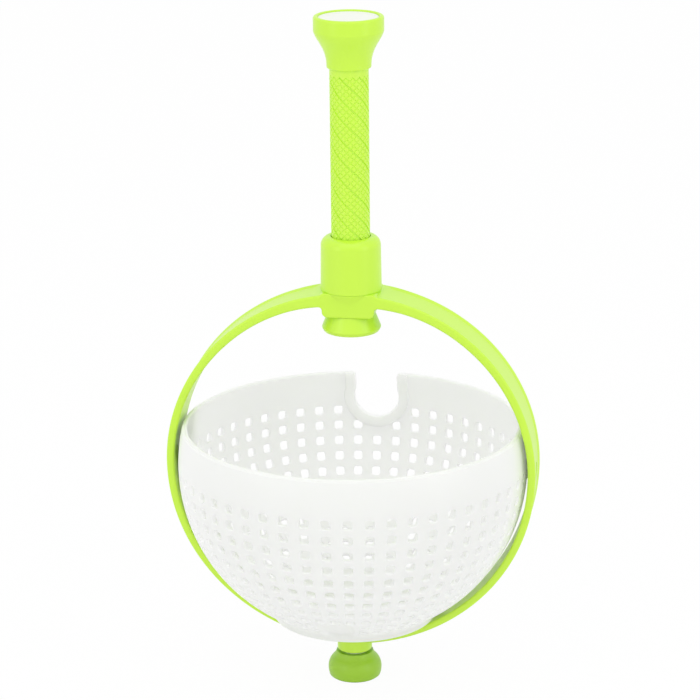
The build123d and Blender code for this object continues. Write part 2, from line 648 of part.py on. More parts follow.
with BuildPart() as notch_lip:
    with BuildSketch(Plane.XZ):
        notch_outline(LIP_WIDTH)
        with Locations((0, rim_top)):
            Rectangle(BASKET_RADIUS, BASKET_RADIUS, align=(Align.CENTER, Align.MIN), mode=Mode.SUBTRACT)
    extrude(amount=-BASKET_RADIUS)
    add(lip_shell.part, mode=Mode.INTERSECT)

with BuildPart() as scoop:
    with BuildSketch(Plane.XZ):
        with Locations((0, scoop_bottom)):
            Circle(scoop_radius, align=(Align.CENTER, Align.MIN))
        with Locations((0, scoop_bottom + scoop_radius)):
            Rectangle(SCOOP_WIDTH, SCOOP_HEIGHT - scoop_radius, align=(Align.CENTER, Align.MIN))
    extrude(amount=BASKET_RADIUS)
    with Locations((0, 0, pivot_height)):
        Sphere(BASKET_RADIUS - SCOOP_DEPTH, mode=Mode.SUBTRACT)
    with BuildSketch(Plane.XY.offset(ring_bottom)):
        Circle(RING_RADIUS - SCOOP_DEPTH)
    extrude(amount=SCOOP_HEIGHT, mode=Mode.SUBTRACT)

with BuildPart() as basket:
    with BuildSketch(Plane.XZ):
        with BuildLine():
            pivot = (0, pivot_height)
            rim_angle = degrees(asin(RIM_HEIGHT / BASKET_RADIUS))
            ring_angle = degrees(acos(RING_RADIUS / BASKET_RADIUS))
            rim_angle_inside = degrees(asin(RIM_HEIGHT / basket_inside))
            floor_angle = degrees(asin(floor_top_drop / basket_inside))
            outside = CenterArc(pivot, BASKET_RADIUS, rim_angle, -rim_angle - ring_angle)
            inside = CenterArc(pivot, basket_inside, -floor_angle, floor_angle + rim_angle_inside)
            Polyline(
                outside @ 1,
                (RING_RADIUS, ring_bottom),
                (RING_RADIUS - RING_WALL, ring_bottom),
                (RING_RADIUS - RING_WALL, floor_bottom),
                (0, floor_bottom),
                (0, pivot_height - floor_top_drop),
                inside @ 0,
            )
            Line(inside @ 1, outside @ 0)
        make_face()
        fillet(vertices().group_by(Axis.Y)[-1], RIM_ROUNDING)
    revolve(axis=Axis.Z)
    add(notch_lip.part)
    with BuildSketch(Plane.XZ):
        notch_outline(0)
    extrude(amount=-2 * BASKET_RADIUS, mode=Mode.SUBTRACT)
    add(scoop.part, mode=Mode.SUBTRACT)
    for side in (1, -1):
        with BuildSketch(Plane.YZ.offset(side * boss_inner_end)):
            with Locations((0, pivot_height)):
                Circle(BOSS_RADIUS)
        extrude(amount=side * (boss_outer_end - boss_inner_end))
    with BuildSketch(Plane.YZ):
        with Locations((0, pivot_height)):
            Circle(PIN_RADIUS + SLIP_FIT)
    extrude(amount=2 * BASKET_RADIUS, both=True, mode=Mode.SUBTRACT)


def pivot_pin(side):
    """Headed pin through the hoop into the basket's boss, on one side."""
    with BuildPart() as pin:
        with BuildSketch(Plane.YZ.offset(side * boss_inner_end)):
            with Locations((0, pivot_height)):
                Circle(PIN_RADIUS)
        extrude(amount=side * (channel_floor - boss_inner_end))
        with BuildSketch(Plane.YZ.offset(side * channel_floor)):
            with Locations((0, pivot_height)):
                Circle(PIN_HEAD_RADIUS)
        extrude(amount=-side * PIN_HEAD)
    return pin


pieces = {
    "foot_pad": foot_pad,
    "foot_shell": foot_shell,
    "axle": axle,
    "thrust_washer": thrust_washer,
    "retaining_washer": retaining_washer,
    "retaining_screw": retaining_screw,
    "hoop": hoop,
    "hub_bush": hub_bush,
    "collar": collar,
    "collar_screws": collar_screws,
    "lower_bush": lower_bush,
    "upper_bush": upper_bush,
    "clutch_ring": clutch_ring,
    "drive_nut": drive_nut,
    "spiral_shaft": spiral_shaft,
    "stop_bell": stop_bell,
    "bell_pin": bell_pin,
    "knob": knob,
    "knob_cap": knob_cap,
    "knob_screw": knob_screw,
    "basket": basket,
    "pivot_pin_right": pivot_pin(1),
    "pivot_pin_left": pivot_pin(-1),
}
for name, piece in pieces.items():
    piece.part.label = name
    export_step(piece.part, f"parts/{name}.step")
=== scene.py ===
import bmesh
import bpy
import json
from math import acos, atan2, cos, hypot, pi, radians, sin, sqrt, tan
from mathutils import Matrix, Vector


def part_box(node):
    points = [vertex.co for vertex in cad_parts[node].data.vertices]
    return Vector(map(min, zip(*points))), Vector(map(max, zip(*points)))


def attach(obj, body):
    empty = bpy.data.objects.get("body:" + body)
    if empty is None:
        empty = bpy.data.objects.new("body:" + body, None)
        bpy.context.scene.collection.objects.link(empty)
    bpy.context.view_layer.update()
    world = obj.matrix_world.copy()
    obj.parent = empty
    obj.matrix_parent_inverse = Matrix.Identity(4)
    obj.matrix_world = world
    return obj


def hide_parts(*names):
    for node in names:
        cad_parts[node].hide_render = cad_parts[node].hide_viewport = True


# Salad spinner with a pump handle, dressed for rendering.
# Lengths are in millimetres up to the point where a mesh or a lamp is made.
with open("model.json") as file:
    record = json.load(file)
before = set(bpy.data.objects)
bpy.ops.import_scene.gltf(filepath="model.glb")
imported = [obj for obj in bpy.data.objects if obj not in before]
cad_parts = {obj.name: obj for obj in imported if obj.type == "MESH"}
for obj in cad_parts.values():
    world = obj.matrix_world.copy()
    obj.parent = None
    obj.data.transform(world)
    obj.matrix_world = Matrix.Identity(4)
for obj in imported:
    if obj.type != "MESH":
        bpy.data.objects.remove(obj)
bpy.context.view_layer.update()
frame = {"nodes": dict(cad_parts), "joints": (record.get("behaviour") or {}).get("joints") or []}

MM = 0.001
CREASE = radians(38)        # edges sharper than this stay crisp
ON_AXIS = 1e-6
FIT = 0.06                  # gap round a piece that seats in another
RUNNING_GAP = 0.4           # gap round a piece that turns or slides in another
OVERRUN = 2.0               # how far a cutter runs past what it cuts

# Sides of turned pieces
TURN_STEPS = 128
BOSS_STEPS = 64
PIN_STEPS = 48
SCREW_STEPS = 24


def corner_box(node):
    """Lowest and highest corner of a CAD node."""
    low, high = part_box(node)
    return low / MM, high / MM


def joint_height(name):
    """Height of a joint of the frame above the sole."""
    for joint in frame["joints"]:
        if joint["name"] == name:
            return joint["pos_m"][2] / MM


# Camera of the photograph, round the pivot of the basket
CAMERA_LENS = 144.0
CAMERA_SENSOR = 36.0
CAMERA_TURN = radians(8.89)
CAMERA_DISTANCE = 1712.76
CAMERA_RISE = 611.38
CAMERA_PITCH = radians(17.36)
CAMERA_YAW = radians(0.04)
CAMERA_ROLL = radians(0.60)

# Lamps and floor, in metres and watts, with the lamps' azimuth counted from the camera's side
SOFTBOXES = {
    "left_softbox": {"azimuth": -52, "elevation": 18, "distance": 1.7,
                     "width": 0.5, "height": 1.4, "watts": 2.2},
    "right_softbox": {"azimuth": 56, "elevation": 16, "distance": 1.7,
                      "width": 0.5, "height": 1.4, "watts": 2.4},
    "top_softbox": {"azimuth": 0, "elevation": 70, "distance": 1.6,
                    "width": 1.6, "height": 1.6, "watts": 4.6},
}
LAMP_AIM = 0.2              # height that the lamps are aimed at
AMBIENT = 0.87              # strength of the light from all round
FLOOR_HALF = 8.0
FLOOR_SHADE = 0.96
FLOOR_GLOW = 0.96           # share of plain white in what the camera sees of the floor

# Finish of the plastic
MILKY_DEPTH = 14.0          # how far light goes into milky plastic
CLOUD_SCALE = 22.0
CLOUD_GLOSS = 0.06          # how much the clouds change the roughness
SKIN_GLOSS = 0.04           # how much the fine skin changes it
SKIN_STRENGTH = 0.35
PLASTIC_SHINE = 0.65

# Finish of the steel
STEEL_ROUGHNESS = 0.24
STEEL_CLOUD_SCALE = 160.0
STEEL_CLOUD_GLOSS = 0.1
MARKS_SCALE = 600.0
MARKS_GLOSS = 0.05
MARKS_DEPTH = 0.02

# Sizes taken from the frame
PIVOT = joint_height("basket_tip")
basket_low, basket_high = corner_box("basket")
hoop_high = corner_box("hoop")[1]
collar_low, collar_high = corner_box("collar")
shaft_high = corner_box("spiral_shaft")[1]
bell_low, bell_high = corner_box("stop_bell")
knob_low, knob_high = corner_box("knob")
cap_low, cap_high = corner_box("knob_cap")
foot_low, foot_high = corner_box("foot_shell")
sole_low, sole_high = corner_box("foot_pad")
axle_high = corner_box("axle")[1]
washer_high = corner_box("retaining_washer")[1]
bush_low, bush_high = corner_box("hub_bush")
pin_high = corner_box("pivot_pin_right")[1]

# Basket
BOWL_RADIUS = -basket_low.y
BOWL_WALL = 3.0
BOWL_INSIDE = BOWL_RADIUS - BOWL_WALL
RIM = basket_high.z
RIM_ROUNDING = 1.4
PLAIN_STEPS = 5             # rings of the plain wall between the holes and the rim
RING_RADIUS = 53.5
RING_WALL = 3.0
RING_BOTTOM = basket_low.z
RING_EDGE = 1.0
RING_HOLLOW = 5.4           # rounding where the bowl runs into the ring
RING_CORNER = 1.5           # rounding where the ring meets the floor's underside
FLOOR_UNDERSIDE = RING_BOTTOM + 5.3
FLOOR_TOP = FLOOR_UNDERSIDE + 3.0
FLOOR_BEND = ((0.6, 1.2), (-1.0, 0.2), (-3.0, 0.0))     # out and up from the corner of wall and floor
FLOOR_MIDDLE = 20.0         # radius of the last ring of the floor
HOLE_COLUMNS = 52
HOLE_ROWS = 11
FIRST_ROW = radians(-0.7)   # latitude of the top row of holes
ROW_STEP = radians(5.5)
HOLE_SIZE = 6.0
HOLE_SHARE = 0.66           # widest hole as a share of its column
HOLE_CORNER = 1.5
HOLE_EDGE = 0.35
CELL_STEPS = 4              # steps along each side of the cell round a hole
AROUND = HOLE_COLUMNS * CELL_STEPS
TOP_LATITUDE = FIRST_ROW + ROW_STEP / 2
LAST_LATITUDE = TOP_LATITUDE - ROW_STEP * HOLE_ROWS
NOTCH_RADIUS = 15.2
NOTCH_CENTRE = PIVOT + 9.6
NOTCH_MOUTH = 14.3          # half the width at the rim
NOTCH_CORNER = 3.0          # rounding where the notch meets the rim
NOTCH_BACK = 70.0           # from the axis to where the notch's cutters begin
NOTCH_CLEARING = 0.6        # how far the wall stops short of the notch, inside the lip
LIP_WIDTH = 7.0             # of the flange round the notch
LIP_DEPTH = 2.4
LIP_PROUD = 0.03            # how far it stands out of the bowl's outer face
LIP_DROP = 0.5              # how far it ends below the rim
LIP_OUTER_EDGE = 0.7
LIP_INNER_EDGE = 0.9
LIP_FOOT_EDGE = 0.8
LIP_SUNK = 0.8              # how far its flanks lie within the wall
LIP_TOE = 1.0               # from the wall's edge to where the lip's outer face ends
LIP_HEEL = 2.5              # from the wall's edge to where its flank lies within the wall
SCOOP_RADIUS = 13.0
SCOOP_DEPTH = 1.9
SCOOP_BOTTOM = RING_BOTTOM + 1.2
SCOOP_TOP = SCOOP_BOTTOM + 21.0
SCOOP_ROWS = 2              # rows of holes left out in it
SCOOP_SOFTNESS = 2.6        # width of the scoop's soft edge
SCOOP_FOCUS = 35.0          # height above the ring's edge that the scoop is pressed towards
BOSS_RADIUS = 6.0
BOSS_START = BOWL_INSIDE - 3.2
BOSS_END = basket_high.x
BOSS_EDGE = 0.7
PIN_BORE = 3.06

# Foot
BELLY_HEIGHT = 5.8          # where the bulb is widest
SHOULDER_RADIUS = 14.6
SHOULDER_HEIGHT = 13.1
NECK_RADIUS = 12.0
BASE_RADIUS = 16.8
AXLE_HOLE = 3.56
AXLE_HEAD_TOP = 4.5
FOOT_TOP_EDGE = 0.3
FOOT_BASE_EDGE = 0.2
SOLE_INSIDE = 9.0
SOLE_EDGE = 0.3

# Hoop
HOOP_RADIUS = hoop_high.x
HOOP_RISE = hoop_high.z - PIVOT
HUB_NECK = 5.8              # from the hub's underside up to the hoop's
HOOP_DROP = PIVOT - bush_low.z - HUB_NECK
HOOP_THICKNESS = 5.0        # at the pivots
HOOP_FOOT_THICKNESS = 4.0
HOOP_UPPER_THICKNESS = 6.0
ARM_THICKNESS = 9.0
ARM_START = radians(52)     # above the pivot, where the arms begin to thicken
HOOP_FLOOR = PIVOT - HOOP_DROP + HOOP_FOOT_THICKNESS
WIDTH_REACH = 5.0           # how far past the hoop's top and foot its widths are given
HALF_WIDTHS = (
    (15.0, hoop_high.z + WIDTH_REACH),
    (17.0, PIVOT),
    (8.0, bush_low.z + HUB_NECK - WIDTH_REACH),
)
TROUGH_DEPTH = 0.9
TROUGH_LIP = 2.2
TROUGH_SLOPE = 2.2
TROUGH_TOP_END = 22.5
TROUGH_FOOT_END = 17.0
TROUGH_RUNOUT = 3.0
HOOP_OUTER_EDGE = 1.3
HOOP_INNER_EDGE = 1.5
TROUGH_EDGE = 3.0
BLOCK_HALF = 16.8
BLOCK_HALF_DEPTH = 16.0
BLOCK_TOP = collar_low.z
BLOCK_BOTTOM = BLOCK_TOP - 15.7
BLOCK_CORNER = 3.6
BLOCK_HOLLOW = 2.0          # rounding where the block meets the arms
ARM_UNDERSIDE = BLOCK_TOP - ARM_THICKNESS
BLOCK_FLARE = 24.0          # from the axis to where the hollow ends in the arms
FLARE_DROP = 0.45           # how far the flare's end lies below the arms' underside
FLARE_COVER = 2.0           # how far it reaches up into the arms
ARM_WIDENING = 38.0         # from the axis to where the arms begin to widen to the block's depth
BLOCK_STEP = 0.03           # how far the arms stay behind the block's faces
BLOCK_EDGE = 1.0
SADDLE_DROP = 7.5           # how far the flare under the collar runs down the block
SADDLE_FOOT = 15.6
HUB_RADIUS = 11.4
HUB_EDGE = 0.8
BUSH_SEAT = 6.12            # bore for the hub's bush
BUSH_FLANGE = 1.5
LOWER_BUSH_SEAT = 14.75
LOWER_BUSH_DEPTH = 4.0
COLLAR_SEAT_GAP = 0.15
COLLAR_SEAT_STEP = 0.01
PIN_HEAD = 1.6
SCREW_COUNT = 4
SCREW_CIRCLE = 18.0
SCREW_BORE = 0.96
SCREW_COVER = 0.5           # from the bore's end up to the block's top
SCREW_HEAD_ROOM = 1.8
SCREW_HEAD_DEPTH = 3.05

# Collar
COLLAR_CAVITY = 16.2
COLLAR_LIP = 4.4            # thickness of its top
COLLAR_TAPER = 0.5
COLLAR_ROUNDING = 6.0
COLLAR_FOOT_EDGE = 0.35
COLLAR_MOUTH_EDGE = 0.25

# Shaft
LEAD = 78.0
LINES = 18                  # fine knurl lines each way
DEEP_EVERY = 3              # every third left-hand line is a drive groove
LINE_DEPTH = 0.4
GROOVE_DEPTH = 0.8
GROOVE_START = BLOCK_TOP - 2.3
ALONG_PARTS = (0.0, 0.07, 0.14, 0.22, 0.5, 0.78, 0.86, 0.93)    # shares of the way from one line to the next
ACROSS_PARTS = (0.0, 0.07, 0.14, 0.5, 0.86, 0.93)
GROOVE_FLOOR = 0.14
LINE_FLOOR = 0.07
KNURL_LOW = 0               # cells of the knurl, counted up the shaft
KNURL_HIGH = 64
SHAFT_LOW = -4
SHAFT_HIGH = 68

# Bell under the shaft
BELL_FOOT = 17.6            # radius of the lower edge
BELL_LIP = 2.5              # from the lower edge up to the widest place
BELL_TOP = bell_low.z + 17.5
BELL_NECK = 13.1
BELL_OVERLAP = 0.2          # how far the shaft stands into the bell's wall
BELL_SEAT = bell_low.z + 9.0
BELL_FOOT_EDGE = 1.2
BELL_LIP_EDGE = 1.6
BELL_TOP_EDGE = 0.5
DISH_RADIUS = 14.5          # of the hollow under the bell
DISH_TOP = bell_low.z + 4.5
DISH_FLAT = 6.0             # handles of the hollow's curve
DISH_SLOPE = (11.5, bell_low.z + 2.6)

# Knob
SLEEVE_RADIUS = 14.0
SLEEVE_LIP = 0.8
KNOB_BAND = knob_low.z + 23.4
KNOB_WAIST = knob_low.z + 13.0      # handles of the flare's curve
KNOB_SWELL = (knob_high.x - 1.5, knob_low.z + 17.0)
KNOB_SOCKET = knob_low.z + 13.0
KNOB_SCREW_ROOM = 5.0
KNOB_TOP_EDGE = 1.5
KNOB_WELL_EDGE = 0.9
KNOB_MOUTH_EDGE = 0.4
CAP_LOWER_EDGE = 0.3
CAP_UPPER_EDGE = 0.4


# Shader nodes
class Value:
    """A number that varies over a surface: sums and multiples of it add Math nodes."""

    def __init__(self, finish, socket):
        self.finish = finish
        self.socket = socket

    def combine(self, operation, first, second):
        return self.finish.node("ShaderNodeMath", {"operation": operation}, {0: first, 1: second})

    def __add__(self, other):
        return self.combine("ADD", self, other)

    def __radd__(self, other):
        return self.combine("ADD", other, self)

    def __rmul__(self, other):
        return self.combine("MULTIPLY", other, self)


class Finish:
    """A node tree being filled: every node comes from its node method."""

    def __init__(self, owner):
        owner.use_nodes = True
        self.tree = owner.node_tree

    def node(self, kind, settings, sockets, output=0):
        made = self.tree.nodes.new(kind)
        for setting, value in settings.items():
            setattr(made, setting, value)
        for socket, value in sockets.items():
            self.feed(made.inputs[socket], value)
        return Value(self, made.outputs[output])

    def feed(self, socket, value):
        if isinstance(value, Value):
            self.tree.links.new(value.socket, socket)
        else:
            socket.default_value = value

    def shade(self, **sockets):
        shader = self.tree.nodes["Principled BSDF"]
        for socket, value in sockets.items():
            self.feed(shader.inputs[socket.replace("_", " ")], value)


def opaque(red, green, blue):
    return (red, green, blue, 1.0)


def moulded(name, colour, drift, gloss, skin_size=1500.0, skin_depth=0.02, milkiness=0.0):
    """Moulded plastic: a faint drift of colour and gloss over a fine skin, milky where light goes into it."""
    material = bpy.data.materials.new(name)
    finish = Finish(material)
    place = finish.node("ShaderNodeTexCoord", {}, {}, "Object")
    cloud = finish.node("ShaderNodeTexNoise", {},
                        {"Vector": place, "Scale": CLOUD_SCALE, "Detail": 3.0}, "Fac")
    skin = finish.node("ShaderNodeTexNoise", {}, {"Vector": place, "Scale": skin_size, "Detail": 2.0}, "Fac")
    tint = finish.node("ShaderNodeMix", {"data_type": "RGBA"}, {0: cloud, 6: drift, 7: colour}, 2)
    bump = finish.node("ShaderNodeBump", {},
                       {"Strength": SKIN_STRENGTH, "Distance": skin_depth * MM, "Height": skin})
    smoothest = gloss - (CLOUD_GLOSS + SKIN_GLOSS) / 2
    finish.shade(Base_Color=tint, Roughness=smoothest + CLOUD_GLOSS * cloud + SKIN_GLOSS * skin, Normal=bump,
                 Specular_IOR_Level=PLASTIC_SHINE, Subsurface_Weight=milkiness,
                 Subsurface_Radius=(1.0, 1.0, 1.0), Subsurface_Scale=MILKY_DEPTH * MM)
    return material


def turned_steel(name):
    """Plain turned steel with fine rings of tool marks."""
    material = bpy.data.materials.new(name)
    finish = Finish(material)
    place = finish.node("ShaderNodeTexCoord", {}, {}, "Object")
    marks = finish.node("ShaderNodeTexWave", {"wave_type": "RINGS", "rings_direction": "Z"},
                        {"Vector": place, "Scale": MARKS_SCALE, "Distortion": 0.6}, "Fac")
    cloud = finish.node("ShaderNodeTexNoise", {}, {"Vector": place, "Scale": STEEL_CLOUD_SCALE}, "Fac")
    bump = finish.node("ShaderNodeBump", {}, {"Strength": 0.2, "Distance": MARKS_DEPTH * MM, "Height": marks})
    tint = finish.node("ShaderNodeMix", {"data_type": "RGBA"},
                       {0: cloud, 6: opaque(0.52, 0.52, 0.53), 7: opaque(0.66, 0.66, 0.67)}, 2)
    roughness = STEEL_ROUGHNESS + STEEL_CLOUD_GLOSS * cloud + MARKS_GLOSS * marks
    finish.shade(Base_Color=tint, Metallic=1.0, Roughness=roughness, Normal=bump)
    return material


lime = moulded("lime_plastic", opaque(0.595, 0.910, 0.052), opaque(0.565, 0.890, 0.044), gloss=0.32)
lime_grip = moulded("lime_grip", opaque(0.625, 0.930, 0.068), opaque(0.595, 0.910, 0.058), gloss=0.36)
leaf = moulded("leaf_plastic", opaque(0.365, 0.650, 0.020), opaque(0.340, 0.615, 0.016), gloss=0.38,
               skin_size=1300.0, skin_depth=0.03)
white = moulded("white_plastic", opaque(0.966, 0.953, 0.982), opaque(0.953, 0.940, 0.970), gloss=0.38,
                milkiness=1.0)
cap_white = moulded("cap_white", opaque(0.875, 0.900, 0.830), opaque(0.860, 0.885, 0.815), gloss=0.38)
acetal = moulded("acetal", opaque(0.820, 0.815, 0.790), opaque(0.790, 0.785, 0.760), gloss=0.45,
                 skin_size=1100.0, skin_depth=0.03)
rubber = moulded("sole_rubber", opaque(0.280, 0.500, 0.045), opaque(0.250, 0.460, 0.038), gloss=0.72,
                 skin_size=700.0, skin_depth=0.08)
steel = turned_steel("turned_steel")


# Mesh helpers
def make_object(name, vertices, faces):
    """A closed mesh with its faces turned outwards."""
    mesh = bpy.data.meshes.new(name)
    mesh.from_pydata([Vector(vertex) * MM for vertex in vertices], [], faces)
    shape = bmesh.new()
    shape.from_mesh(mesh)
    bmesh.ops.recalc_face_normals(shape, faces=shape.faces)
    shape.to_mesh(mesh)
    shape.free()
    made = bpy.data.objects.new(name, mesh)
    bpy.context.scene.collection.objects.link(made)
    return made


def join(tools):
    """Puts several cutters or additions that don't touch into one object."""
    shape = bmesh.new()
    for tool in tools:
        shape.from_mesh(tool.data)
    shape.to_mesh(tools[0].data)
    shape.free()
    for tool in tools[1:]:
        bpy.data.objects.remove(tool)
    return tools[0]


def work(target, operation, *tools):
    """Unites tools with a piece or cuts them from it."""
    tool = join(tools)
    modifier = target.modifiers.new("work", "BOOLEAN")
    modifier.operation = operation
    modifier.solver = "EXACT"
    modifier.object = tool
    worked = bpy.data.meshes.new_from_object(target.evaluated_get(bpy.context.evaluated_depsgraph_get()))
    target.modifiers.remove(modifier)
    target.data = worked
    bpy.data.objects.remove(tool)


def dress(made, material, slot, body, *nodes):
    """Shades a piece, gives it its finish and puts it in the place of CAD nodes."""
    made.data.materials.clear()
    made.data.materials.append(material)
    made.data.shade_smooth()
    made.data.set_sharp_from_angle(angle=CREASE)
    even = made.modifiers.new("even_shading", "WEIGHTED_NORMAL")
    even.keep_sharp = True
    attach(made, body)
    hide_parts(*nodes)


def rounded(corners, closed=True, steps=5):
    """Outline through corners given as (across, along, rounding)."""
    points = []
    last = len(corners) - 1
    for index, (across, along, rounding) in enumerate(corners):
        here = Vector((across, along))
        if rounding == 0 or (not closed and index in (0, last)):
            points.append(here)
            continue
        back = (Vector(corners[index - 1][:2]) - here).normalized()
        ahead = (Vector(corners[(index + 1) % len(corners)][:2]) - here).normalized()
        half = back.angle(ahead) / 2
        centre = here + (back + ahead).normalized() * (rounding / sin(half))
        start = here + back * (rounding / tan(half)) - centre
        end = here + ahead * (rounding / tan(half)) - centre
        turn = atan2(start.x * end.y - start.y * end.x, start.dot(end))
        for step in range(steps + 1):
            points.append(centre + Matrix.Rotation(turn * step / steps, 2) @ start)
    return points


def arc(centre, radius, start, end, steps):
    """Points along an arc, with its angles in radians."""
    angles = [start + (end - start) * step / steps for step in range(steps + 1)]
    return [Vector((centre[0] + radius * cos(angle), centre[1] + radius * sin(angle))) for angle in angles]


def sweep_curve(first, leave, arrive, last, steps):
    """Points along a smooth curve that leaves and arrives towards two handles."""
    points = []
    for step in range(steps + 1):
        t = step / steps
        s = 1 - t
        points.append(s**3 * Vector(first) + 3 * s * s * t * Vector(leave) + 3 * s * t * t * Vector(arrive)
                      + t**3 * Vector(last))
    return points


def tangent_arc(start, way, end, steps):
    """Points along the arc that leaves a point in a given way and ends at another."""
    start = Vector(start)
    end = Vector(end)
    chord = end - start
    inward = Vector((-way[1], way[0])).normalized()
    centre = start + inward * (chord.length_squared / (2 * chord.dot(inward)))
    first = start - centre
    last = end - centre
    turn = atan2(first.x * last.y - first.y * last.x, first.dot(last))
    return [centre + Matrix.Rotation(turn * step / steps, 2) @ first for step in range(steps + 1)]


def turned(name, outline, steps=TURN_STEPS):
    """A piece turned about the spin axis from an outline of (radius, height) points."""
    vertices = []
    rings = []
    for radius, height in outline:
        first = len(vertices)
        if radius < ON_AXIS:
            vertices.append((0, 0, height))
            rings.append([first] * steps)
            continue
        for step in range(steps):
            angle = 2 * pi * step / steps
            vertices.append((radius * cos(angle), radius * sin(angle), height))
        rings.append(list(range(first, first + steps)))
    faces = []
    for ring, above in zip(rings, rings[1:] + rings[:1]):
        for step in range(steps):
            ahead = (step + 1) % steps
            corners = tuple(dict.fromkeys((ring[step], ring[ahead], above[ahead], above[step])))
            if len(corners) > 2:
                faces.append(corners)
    return make_object(name, vertices, faces)


def both_sides(name, outline, steps):
    """A piece turned about the pivots' axis from (radius, distance) points, and its mirror image."""
    mirrored = [(radius, -distance) for radius, distance in outline]
    laid = Matrix.Translation((0, 0, PIVOT * MM)) @ Matrix.Rotation(pi / 2, 4, "Y")
    made = [turned(name, side, steps) for side in (outline, mirrored)]
    for piece in made:
        piece.data.transform(laid)
    return made


def lofted(name, sections, closed=False):
    """Skin over sections with as many points each: a closed loop, or capped at its two ends."""
    count = len(sections[0])
    total = count * len(sections)
    faces = [] if closed else [tuple(range(count)), tuple(range(total - count, total))]
    for here in range(0, total if closed else total - count, count):
        there = (here + count) % total
        for index in range(count):
            ahead = (index + 1) % count
            faces.append((here + index, here + ahead, there + ahead, there + index))
    return make_object(name, [point for section in sections for point in section], faces)


def prism(name, outline, back, front):
    """An outline in the XZ plane pulled along Y."""
    return lofted(name, [[(x, y, z) for x, z in outline] for y in (back, front)])


def bevel(made, width, segments):
    """Rounds every crisp edge of a piece."""
    shape = bmesh.new()
    shape.from_mesh(made.data)
    crisp = [edge for edge in shape.edges if edge.calc_face_angle(0) > CREASE]
    bmesh.ops.bevel(shape, geom=crisp, offset=width * MM, segments=segments, profile=0.5, affect="EDGES",
                    clamp_overlap=True)
    shape.to_mesh(made.data)
    shape.free()
    return made


def flipped(point):
    """Mirror image of a point of an outline, on the other side of the axis."""
    return Vector((-point.x, point.y))


# Foot
def foot_bulb():
    belly = Vector((foot_high.x, BELLY_HEIGHT))
    shoulder = Vector((SHOULDER_RADIUS, SHOULDER_HEIGHT))
    neck = Vector((NECK_RADIUS, foot_high.z))
    base = Vector((BASE_RADIUS, foot_low.z))
    up = Vector((0, 1))
    flank_steps = 16
    bend_steps = 10
    bulb = tangent_arc(belly, -up, base, bend_steps)[::-1] + tangent_arc(belly, up, shoulder, flank_steps)[1:]
    bulb += tangent_arc(shoulder, 2 * up.project(shoulder - belly) - up, neck, bend_steps)[1:]
    head = axle_high.x + FIT
    sole_inside = SOLE_INSIDE - FIT
    sole_outside = sole_high.x + FIT
    under = rounded([(neck.x, neck.y, 0), (AXLE_HOLE, neck.y, FOOT_TOP_EDGE), (AXLE_HOLE, AXLE_HEAD_TOP, 0),
                     (head, AXLE_HEAD_TOP, 0), (head, base.y, FOOT_BASE_EDGE),
                     (sole_inside, base.y, FOOT_BASE_EDGE), (sole_inside, sole_high.z, 0),
                     (sole_outside, sole_high.z, 0), (sole_outside, base.y, FOOT_BASE_EDGE),
                     (base.x, base.y, 0)], closed=False)
    dress(turned("foot_bulb", bulb + under[1:-1]), leaf, "foot_green", "foot", "foot_shell")


def foot_sole():
    outline = rounded([(SOLE_INSIDE, sole_low.z, SOLE_EDGE), (sole_high.x, sole_low.z, SOLE_EDGE),
                       (sole_high.x, sole_high.z, 0), (SOLE_INSIDE, sole_high.z, 0)])
    dress(turned("foot_sole", outline), rubber, "sole_rubber", "foot", "foot_pad")


# Hoop
def arc_half_width():
    """Half width of the hoop's band at a height, from the arc through three widths."""
    (x1, z1), (x2, z2), (x3, z3) = HALF_WIDTHS
    twice = 2 * (x1 * (z2 - z3) + x2 * (z3 - z1) + x3 * (z1 - z2))
    s1, s2, s3 = (x * x + z * z for x, z in HALF_WIDTHS)
    cx = (s1 * (z2 - z3) + s2 * (z3 - z1) + s3 * (z1 - z2)) / twice
    cz = (s1 * (x3 - x2) + s2 * (x1 - x3) + s3 * (x2 - x1)) / twice
    radius = hypot(x1 - cx, z1 - cz)
    return lambda z: cx + sqrt(radius * radius - (z - cz) ** 2)


def smooth_step(start, end, value):
    share = min(max((value - start) / (end - start), 0.0), 1.0)
    return share * share * (3 - 2 * share)


def hoop_stations():
    """Outer and inner points of the hoop, round from its right pivot."""
    inside = HOOP_RADIUS - HOOP_THICKNESS
    inside_rise = HOOP_RISE - HOOP_UPPER_THICKNESS
    arm_end = acos(BLOCK_HALF / HOOP_RADIUS)
    flank_steps = 44
    arm_steps = 24
    block_steps = 6
    foot_steps = 72
    angles = [ARM_START * step / flank_steps for step in range(flank_steps)]
    angles += [ARM_START + (arm_end - ARM_START) * step / arm_steps for step in range(arm_steps)]
    angles += [arm_end + (pi / 2 - arm_end) * step / block_steps for step in range(block_steps + 1)]
    outer = [Vector((HOOP_RADIUS * cos(angle), HOOP_RISE * sin(angle))) for angle in angles]
    inner = [Vector((inside * cos(angle), inside_rise * sin(angle))) for angle in angles[:flank_steps + 1]]
    way = (-inside * sin(ARM_START), inside_rise * cos(ARM_START))
    inner += tangent_arc(inner[-1], way, (BLOCK_HALF, HOOP_RISE - ARM_THICKNESS), arm_steps)[1:]
    inner += [Vector((BLOCK_HALF * (1 - step / block_steps), HOOP_RISE - ARM_THICKNESS))
              for step in range(1, block_steps + 1)]
    rise = list(zip(outer, inner))
    outer = tangent_arc((HOOP_RADIUS, 0), (0, -1), (0, -HOOP_DROP), foot_steps)
    inner = tangent_arc((inside, 0), (0, -1), (0, HOOP_FOOT_THICKNESS - HOOP_DROP), foot_steps)
    fall = list(zip(outer, inner))

    def mirrored(pairs):
        return [(flipped(outer), flipped(inner)) for outer, inner in pairs]

    return rise[:-1] + mirrored(rise[::-1])[:-1] + mirrored(fall)[:-1] + fall[::-1][:-1]


